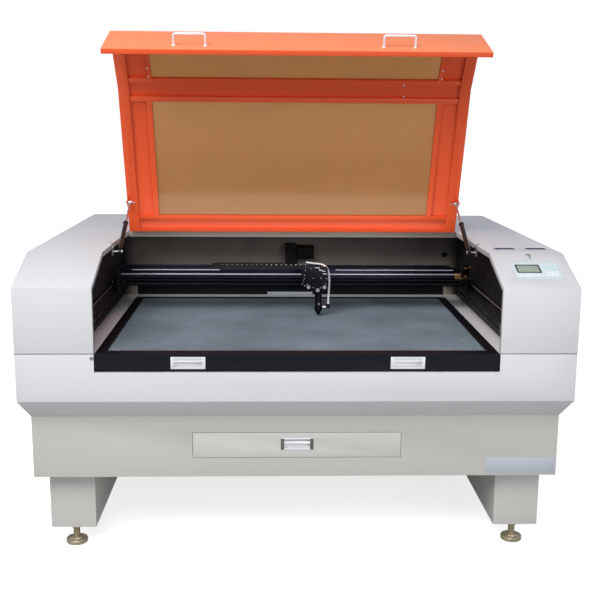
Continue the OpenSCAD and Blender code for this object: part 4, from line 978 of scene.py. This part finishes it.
bpy.ops.object.mode_set(mode="EDIT")
bpy.ops.mesh.inset(thickness=2.0 * MM)
bpy.ops.mesh.extrude_region_move(TRANSFORM_OT_translate={"value": (0, 0, -0.5 * MM)})
bpy.ops.object.mode_set(mode="OBJECT")
finish_piece(laid(soften(border, 0.2, 1)), key_edge, "machine", "membrane")

# %% [markdown]
# The two meters are dark boxes sunk into the top, each with a lens of
# smoked plastic. Below them, on the slope, sit a key switch, a small lamp
# and a rocker: three marks in a column.

# %% Meter lenses, key switch, lamp and rocker
METERS_X, METERS_Y, METER_PITCH = PANEL_X + 2, 354.0, 115.5
for side, x in (("left", METERS_X - METER_PITCH / 2), ("right", METERS_X + METER_PITCH / 2)):
    lens_piece = block("meter_lens_" + side, (x - 33.5, METERS_Y - 19.5, 1061.5),
                       (x + 33.5, METERS_Y + 19.5, 1064.5), 0)
    select_faces(lens_piece, lambda centre, normal: normal.z > 0.9)
    bpy.ops.object.mode_set(mode="EDIT")
    bpy.ops.mesh.inset(thickness=3.0 * MM)
    bpy.ops.mesh.extrude_region_move(TRANSFORM_OT_translate={"value": (0, 0, -1.0 * MM)})
    bpy.ops.object.mode_set(mode="OBJECT")
    finish_piece(soften(lens_piece, 0.5), meter_plastic, "machine", "meter_plastic")
SWITCH_X = PANEL_X - 4.0
lock = turned("lock", (SWITCH_X, -16, -0.2), UPWARD,
              [(0, 8.5), (2, 8.5), (3, 7.5), (3, 4.6), (4.4, 4.2)], 28)
slot_cut = block("slot", (SWITCH_X - 3.2, -16.9, 3.9), (SWITCH_X + 3.2, -15.1, 5.0), 0.2)
finish_piece(laid(join("panel_lock", lock, slot_cut)), zinc_steel, "machine", "polished_steel")
lamp = turned("lamp", (SWITCH_X + 2, -33, -0.2), UPWARD, [(0, 4.6), (1.6, 4.6), (2.8, 3.2), (3.2, 1.4)], 20)
finish_piece(laid(lamp), zinc_steel, "machine", "polished_steel")
rocker = block("rocker", (SWITCH_X - 16, -51.5, -0.3), (SWITCH_X + 6, -43.5, 2.4), 0)
select_faces(rocker, lambda centre, normal: normal.z > 0.9)
bpy.ops.object.mode_set(mode="EDIT")
bpy.ops.mesh.inset(thickness=1.4 * MM)
bpy.ops.mesh.extrude_region_move(TRANSFORM_OT_translate={"value": (0, 0, -1.2 * MM)})
bpy.ops.object.mode_set(mode="OBJECT")
finish_piece(laid(soften(rocker, 0.5)), key_edge, "machine", "black_plastic")

# %% [markdown]
# ## Feet
# Each levelling foot is a turned disc with a groove round its rim, a hub
# and a threaded stem with a lock nut. The disc is turned as the solids are.
# The thread is a stack of small ridges, which at this size reads as one.

# %% One foot, copied to the four corners
for name in ("foot_front_left", "foot_front_right", "foot_back_left", "foot_back_right"):
    low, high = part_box(name)
    centre = ((low + high) / 2 - at(0, 0, 0)) / MM
    radius = (high.x - low.x) / 2 / MM
    base = turned("base", (centre.x, centre.y, 0), UPWARD, [
        (0, radius - 3), (1.5, radius - 1), (3, radius), (7.5, radius), (8.5, radius - 2.4),
        (10.5, radius - 2.4), (11.5, radius), (14.5, radius), (16, radius - 1.5),
        (16, radius - 5), (13, radius - 6.5), (17, 21), (21, 19.5), (22, 12)], 64)
    nut = turned("nut", (centre.x, centre.y, 58), UPWARD, [(0, 15), (1, 18), (10, 18), (11.5, 16)], 6)
    stem_steps = [(0, 10.6)]
    for k in range(20):
        z = 1.0 + k * 2.4
        stem_steps += [(z, 10.6), (z + 0.8, 11.9), (z + 1.4, 11.9), (z + 2.2, 10.6)]
    stem = turned("stem", (centre.x, centre.y, 21), UPWARD, stem_steps, 24)
    body = frame["nodes"][name]["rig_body"]
    finish_piece(join(name + "_turned", base, nut, stem), foot_steel, body, "foot_steel", name)


# %% [markdown]
# ## Gantry: raceway, end mirror, end plates and bolts
# The rail along the beam is drawn dark, and a pale strip along its raceway
# is a painted highlight, one thin line; the bed's rails carry the same.
# At the right end a second mirror turns the beam along the gantry. Its
# cell sits on a bracket with three sprung brass screws, so that it can be
# tilted, and it is turned 45 degrees to the light.

# %% Painted highlights along the raceways of the rails
# The pale strips along the raceways are painted highlights.
raceway = block("rail_raceway", (-699, 704.4, 908.4), (695, 716, 911.9), 0.3)
finish_piece(raceway, raceway_painted_highlight, "gantry", "rail_steel")
rail_bolts = screws("rail_bolts", 2.9, [(-660 + 60 * k, 706.9, 904) for k in range(23)
                                       if not 4 <= (-660 + 60 * k) <= 150], FRONTWARD, 10)
finish_piece(rail_bolts, case_black, "gantry", "anodised_dark")
strips = [block("chain_strip", (x0, 719.3, 924.2), (x1, 719.95, 927.6), 0.2)
          for x0, x1 in ((-655, -300), (172, 655))]
finish_piece(join("chain_strips", *strips), plate_aluminium, "gantry", "aluminium_part")
y_race = both_sides(block("bed_raceways", (733, 61, 864.2), (735.5, 1084, 865.3), 0.2))
finish_piece(y_race, raceway_painted_highlight, "machine", "rail_steel")
y_bolts = both_sides(screws("bed_rail_bolts", 2.6, [(738, 90 + 80 * k, 865)
                                                   for k in range(13)], UPWARD, 8))
finish_piece(y_bolts, case_black, "machine", "rail_steel")

# %% End mirror in its tilting cell
MIRROR_X, MIRROR_Y = 685.0, 631.0
skins["end_mirror_mount"] = finish_piece(from_cad("end_mirror_mount", 0.8), head_anodised,
                                         "gantry", "cast_dark", "end_mirror_mount")
TURN45 = (Matrix.Translation(at(MIRROR_X, MIRROR_Y, LIGHT_Z))
          @ Matrix.Rotation(math.radians(45), 4, "Z"))
cell = turned("cell", (0, 0, 0), BACKWARD, [(0, 13), (0, 14), (5, 14), (5, 12), (3.5, 11)], 32)
cell.data.transform(Matrix.Translation(-at(0, 0, 0)))
cell.data.transform(Matrix.Translation(Vector((0, 4.0, 0)) * MM))
cell.data.transform(TURN45)
finish_piece(cell, bright_steel, "gantry", "polished_steel")
spring_screw = turned("adjuster", (0, 0, 0), FRONTWARD, [
    (0, 2), (6, 2), (6, 4.2), (7, 5), (13, 5), (14, 4), (14, 2)], 16)
spring_screw.data.transform(Matrix.Translation(-at(0, 0, 0)))
adjusters = copies(spring_screw, "mirror_adjusters", [
    TURN45 @ shift(x, -4, z) for x, z in ((-15, 16), (15, 16), (-15, -16))])
finish_piece(adjusters, brass, "gantry", "cast_dark")
brace = block("mirror_brace", (646, 640.5, 903), (700, 643, 925), 0.8)
finish_piece(brace, brass, "gantry", "cast_dark")

# %% Bolts on the gantry ends and carriage blocks; softened ends and motors
end_bolts = screws("gantry_end_bolts", 3.2, [(s * (704 + 12), 697.8, z) for s in (-1, 1)
                                            for z in (846, 874, 905, 930)], FRONTWARD, 10)
finish_piece(end_bolts, case_black, "gantry", "zinc_steel")
top_bolts = both_sides(screws("gantry_block_bolts", 3.0, [
    (x, y, 874.2) for x in (736,) for y in (722, 768)], UPWARD, 10))
finish_piece(top_bolts, screw_steel, "gantry", "zinc_steel")
for node in ("gantry_end_left", "gantry_end_right", "x_motor"):
    skins[node] = finish_piece(from_cad(node, 0.6), case_black if "end" in node else black_enamel,
                               "gantry", "cast_dark" if "end" in node else "black_paint", node)
for node in ("y_motor", "y_drive_case"):
    skins[node] = finish_piece(from_cad(node, 1.0), black_enamel, "machine", "black_paint", node)

# %% [markdown]
# ## Gas springs
# A black cylinder and a chromed rod, each ending in a ball socket on a
# stud. The studs sit on small zinc plated brackets. Collars, the gland at
# the cylinder's mouth and the lock clips of the sockets are turned pieces
# that ride with their own half, so that they follow the lid.

# %% Collars, sockets and stud plates
SPRING_X, PIVOT, SPRING_ANGLE, SPRING_LONG, SPRING_SHORT = 660.0, (450.0, 1038.0), 27.911, 336.856, 250.721


def on_spring(obj, side):
    """Move a piece drawn along +Y from the lower pivot onto a spring."""
    obj.data.transform(Matrix.Translation(-at(0, 0, 0)))
    obj.data.transform(Matrix.Translation(at(side * SPRING_X, PIVOT[0], PIVOT[1]))
                       @ Matrix.Rotation(math.radians(SPRING_ANGLE), 4, "X"))
    return obj


cylinder_end = 14 + SPRING_SHORT - 75
for side, name in ((-1, "left"), (1, "right")):
    gland = on_spring(turned("gland", (0, cylinder_end - 4, 0), BACKWARD, [
        (0, 9.6), (1, 10.3), (5, 10.3), (6, 9.6), (8.5, 8.4), (8.5, 5)], 28), side)
    collar = on_spring(turned("collar", (0, 12, 0), BACKWARD,
                              [(0, 6.2), (1, 7.4), (8, 7.4), (9, 6.4)], 24), side)
    finish_piece(join("gas_spring_collars_" + name, gland, collar), case_black,
                 "gas_cylinder_%s_body" % name, "black_paint")
    eye = on_spring(turned("eye", (0, SPRING_LONG - 20, 0), BACKWARD,
                           [(0, 4.6), (1, 5.6), (11, 5.6), (13, 7.5), (15, 7.5)], 20), side)
    finish_piece(eye, zinc_steel, "gas_rod_%s_body" % name, "polished_steel")
plate_pieces = []
for y, z in ((430, 1056), (470, 1056)):
    plate_pieces.append(turned("rivet", (683.2, y, z), (-1, 0, 0), [(0, 4), (1.4, 4), (2.4, 2.6)], 14))
plate_pieces.append(turned("stud", (651.6, PIVOT[0], PIVOT[1]), (-1, 0, 0),
                           [(0, 6), (2, 6), (3.4, 4.6), (3.4, 2)], 20))
studs = both_sides(join("spring_studs", *plate_pieces))
finish_piece(studs, bright_steel, "machine", "zinc_steel")
upper = turned("upper_stud", (SPRING_X - 6, 850 - 150, 1067 - 48), (-1, 0, 0),
               [(0, 4.5), (2, 4.5), (4, 3.2)], 18)
cap = turned("upper_nut", (SPRING_X + 11, 850 - 150, 1067 - 48), (1, 0, 0),
             [(0, 7), (5, 7), (6, 6)], 6)
lid_studs = join("lid_studs", upper, cap)
lid_studs.data.transform(OPENED)
finish_piece(both_sides(lid_studs), bright_steel, "lid", "zinc_steel")

# %% [markdown]
# ## Handles
# The table is pulled out by two flush handles and the drawer by a third.
# Their cups are folded from plated sheet, so the CAD copy gets soft edges.
# End cheeks close the cups; the drawer's bar ends in two dark sockets.

# %% Flush handles with their cheeks
TABLE_HANDLE_X, TABLE_CUP_Z, DRAWER_CUP_Z = 372.0, 723.0, 412.0
# The visor's two handles aren't placed alike: left and right of the middle.
LID_HANDLE_X, LID_HANDLE_HALF = (-376.0, 355.0), 55.0
cheeks = [block("cheek", (TABLE_HANDLE_X + s * 53 - 5.2, 4.2, TABLE_CUP_Z - 20.4),
                (TABLE_HANDLE_X + s * 53 + 5.2, 7.0, TABLE_CUP_Z + 20.4), 0.8) for s in (-1, 1)]
cheeks.append(block("grip_lip", (TABLE_HANDLE_X - 47, 3.6, TABLE_CUP_Z + 3.6),
                    (TABLE_HANDLE_X + 47, 7.4, TABLE_CUP_Z + 6.6), 1.0))
cheek_pair = both_sides(join("handle_cheeks", *cheeks))
skins["table_handles"] = finish_piece(join("table_handles_skin", from_cad("table_handles", 0.5),
                                           cheek_pair),
                                      satin_nickel, "table", "polished_steel", "table_handles")
skins["drawer_handle"] = finish_piece(from_cad("drawer_handle", 0.5), satin_nickel,
                                      "drawer_body", "polished_steel", "drawer_handle")
caps = [block("cap", (s * 51.5 - 5.5, 69.4, DRAWER_CUP_Z - 20.5),
              (s * 51.5 + 5.5, 74, DRAWER_CUP_Z + 20.5), 1.0) for s in (-1, 1)]
finish_piece(join("drawer_handle_caps", *caps), cast_socket, "drawer_body", "cast_dark")
lid_feet = []
for x in (middle + s * LID_HANDLE_HALF for middle in LID_HANDLE_X for s in (-1, 1)):
    lid_feet.append(turned("foot_cup", (x, 0.2, 801), FRONTWARD,
                           [(0, 7.4), (1.2, 7.4), (2.6, 6), (3.6, 4.6)], 24))
lid_cups = join("lid_handle_cups", *lid_feet)
lid_cups.data.transform(OPENED)
finish_piece(lid_cups, satin_nickel, "lid", "polished_steel")

# %% [markdown]
# ## Lid: screws of the window frames
# The panes are clamped under raised frames, held by small screws that are
# painted over. They are placed on the lid as it lies closed, and the
# matrix of the open lid then swings them up.

# %% Screws on the frames and lips
frame_places = [(s * 561, y, 1053.0) for s in (-1, 1) for y in (320, 410, 500, 590, 680, 755)]
frame_places += [(x, y, 1053.0) for x in (-440, -220, 0, 220, 440) for y in (280, 784)]
frame_screws = screws("frame_screws", 3.4, frame_places, (0, 0, -1), 12)
frame_screws.data.transform(OPENED)
finish_piece(frame_screws, lid_paint, "lid", "lid_paint")
bright_places = [(s * 557, 150 + 18 * k, 1022 + 6.7 * k) for s in (-1, 1) for k in (0, 2)]
bright_places += [(418, 262, 1052.6), (414, 214, 1043), (-648, 716, 1048.8), (648, 716, 1048.8)]
lip_screws = screws("bright_lid_screws", 3.4, bright_places, (0, 0, -1), 12)
lip_screws.data.transform(OPENED)
finish_piece(lip_screws, screw_steel, "lid", "zinc_steel")

# %% Screws of the hinge leaves
hinge_screws = screws("hinge_screws", 4.2, [(x + dx, 874, 1069.4) for x in (-520, 0, 520)
                                           for dx in (-26, 0, 26)], UPWARD, 12)
finish_piece(hinge_screws, zinc_steel, "machine", "zinc_steel")

# %% [markdown]
# ## Small plates, a lock and seams
# A bare plate is riveted to the skirt's right end. One quarter-turn lock
# sits at the left of the table, on the front face. A flat flange on each
# housing's top holds the bracket of a gas spring. Thin dark strips along
# the seams between the upper and lower housings are painted shadow lines.

# %% Skirt plate, front lock, bracket flanges and seams
name_plate = block("skirt_plate", (668, 71.3, 300), (918, 72.1, 359), 0.3)
rivets = screws("rivets", 2.0, [(x, 71.4, z) for x in (673, 913) for z in (305, 354)])
finish_piece(join("skirt_plate_riveted", name_plate, rivets), plate_aluminium, "machine",
             "aluminium_part")
quarter_lock = turned("quarter_lock", (-693, 0.2, 740), FRONTWARD,
                      [(0, 7), (0.6, 7), (0.9, 6.4), (0.9, 3.2), (0.4, 3)], 24)
finish_piece(quarter_lock, zinc_steel, "machine", "zinc_steel")
bracket = block("bracket", (687.2, 434, 1066.9), (701, 466, 1069.2), 0.5)
bracket_screws = screws("bracket_screws", 3.4, [(694.5, y, 1069.1) for y in (441, 459)], UPWARD)
finish_piece(both_sides(join("bracket_flange", bracket, bracket_screws)), bright_steel,
             "machine", "zinc_steel")
# Thin dark strips along the seams are painted shadow lines.
seam_shadow_strips = []
for x0, x1 in ((-949.4, -687), (687, 949.4)):
    seam_shadow_strips.append(block("seam_shadow_strip", (x0, 0.7, 754.1), (x1, 1.6, 756.3), 0))
seam_shadow_strips.append(block("seam_shadow_strip", (948.6, 0.7, 754.1), (949.4, 1539, 756.3), 0))
seam_shadow_strips.append(block("seam_shadow_strip", (-949.4, 0.7, 754.1), (-948.6, 1539, 756.3), 0))
finish_piece(join("seam_painted_shadow_lines", *seam_shadow_strips), belt_rubber, "machine", "belt_rubber")
notch_plate = block("notch_plate", (-107, 1097.2, 754.3), (95, 1098.6, 765.6), 0.4)
finish_piece(notch_plate, plate_aluminium, "machine", "aluminium_part")

# %% [markdown]
# ## The back: spigot, rivets and panel screws
# A rolled bead round the end of the exhaust spigot keeps the hose clamp
# from slipping off. Rivets hold its flange. Screws hold the rear panel.

# %% Bead, rivets and panel screws
SPIGOT = (-380.0, 901.5)
pick()
bpy.ops.mesh.primitive_torus_add(major_radius=75.4 * MM, minor_radius=2.4 * MM,
                                 major_segments=64, minor_segments=12,
                                 location=at(SPIGOT[0], 1588, SPIGOT[1]),
                                 rotation=(math.radians(90), 0, 0))
bead = bpy.context.object
bead.name = "spigot_bead"
settle(bead)
bpy.ops.object.shade_smooth_by_angle(angle=math.radians(60))
finish_piece(bead, zinc_steel, "machine", "zinc_steel")
flange_rivets = []
for k in range(8):
    a = math.tau * (k + 0.5) / 8
    flange_rivets.append((SPIGOT[0] + 84 * math.cos(a), 1542, SPIGOT[1] + 84 * math.sin(a)))
spigot_rivets = screws("spigot_rivets", 3.0, flange_rivets, BACKWARD, 10)
finish_piece(spigot_rivets, zinc_steel, "machine", "zinc_steel")
panel_screws = screws("rear_panel_screws", 4.0, [(x, 1540, z) for x in (-672, -340, 0, 340, 672)
                                                for z in (764, 1040)
                                                if not (x == -340 and z == 1040)],
                      BACKWARD, 12)
finish_piece(panel_screws, screw_steel, "machine", "zinc_steel")
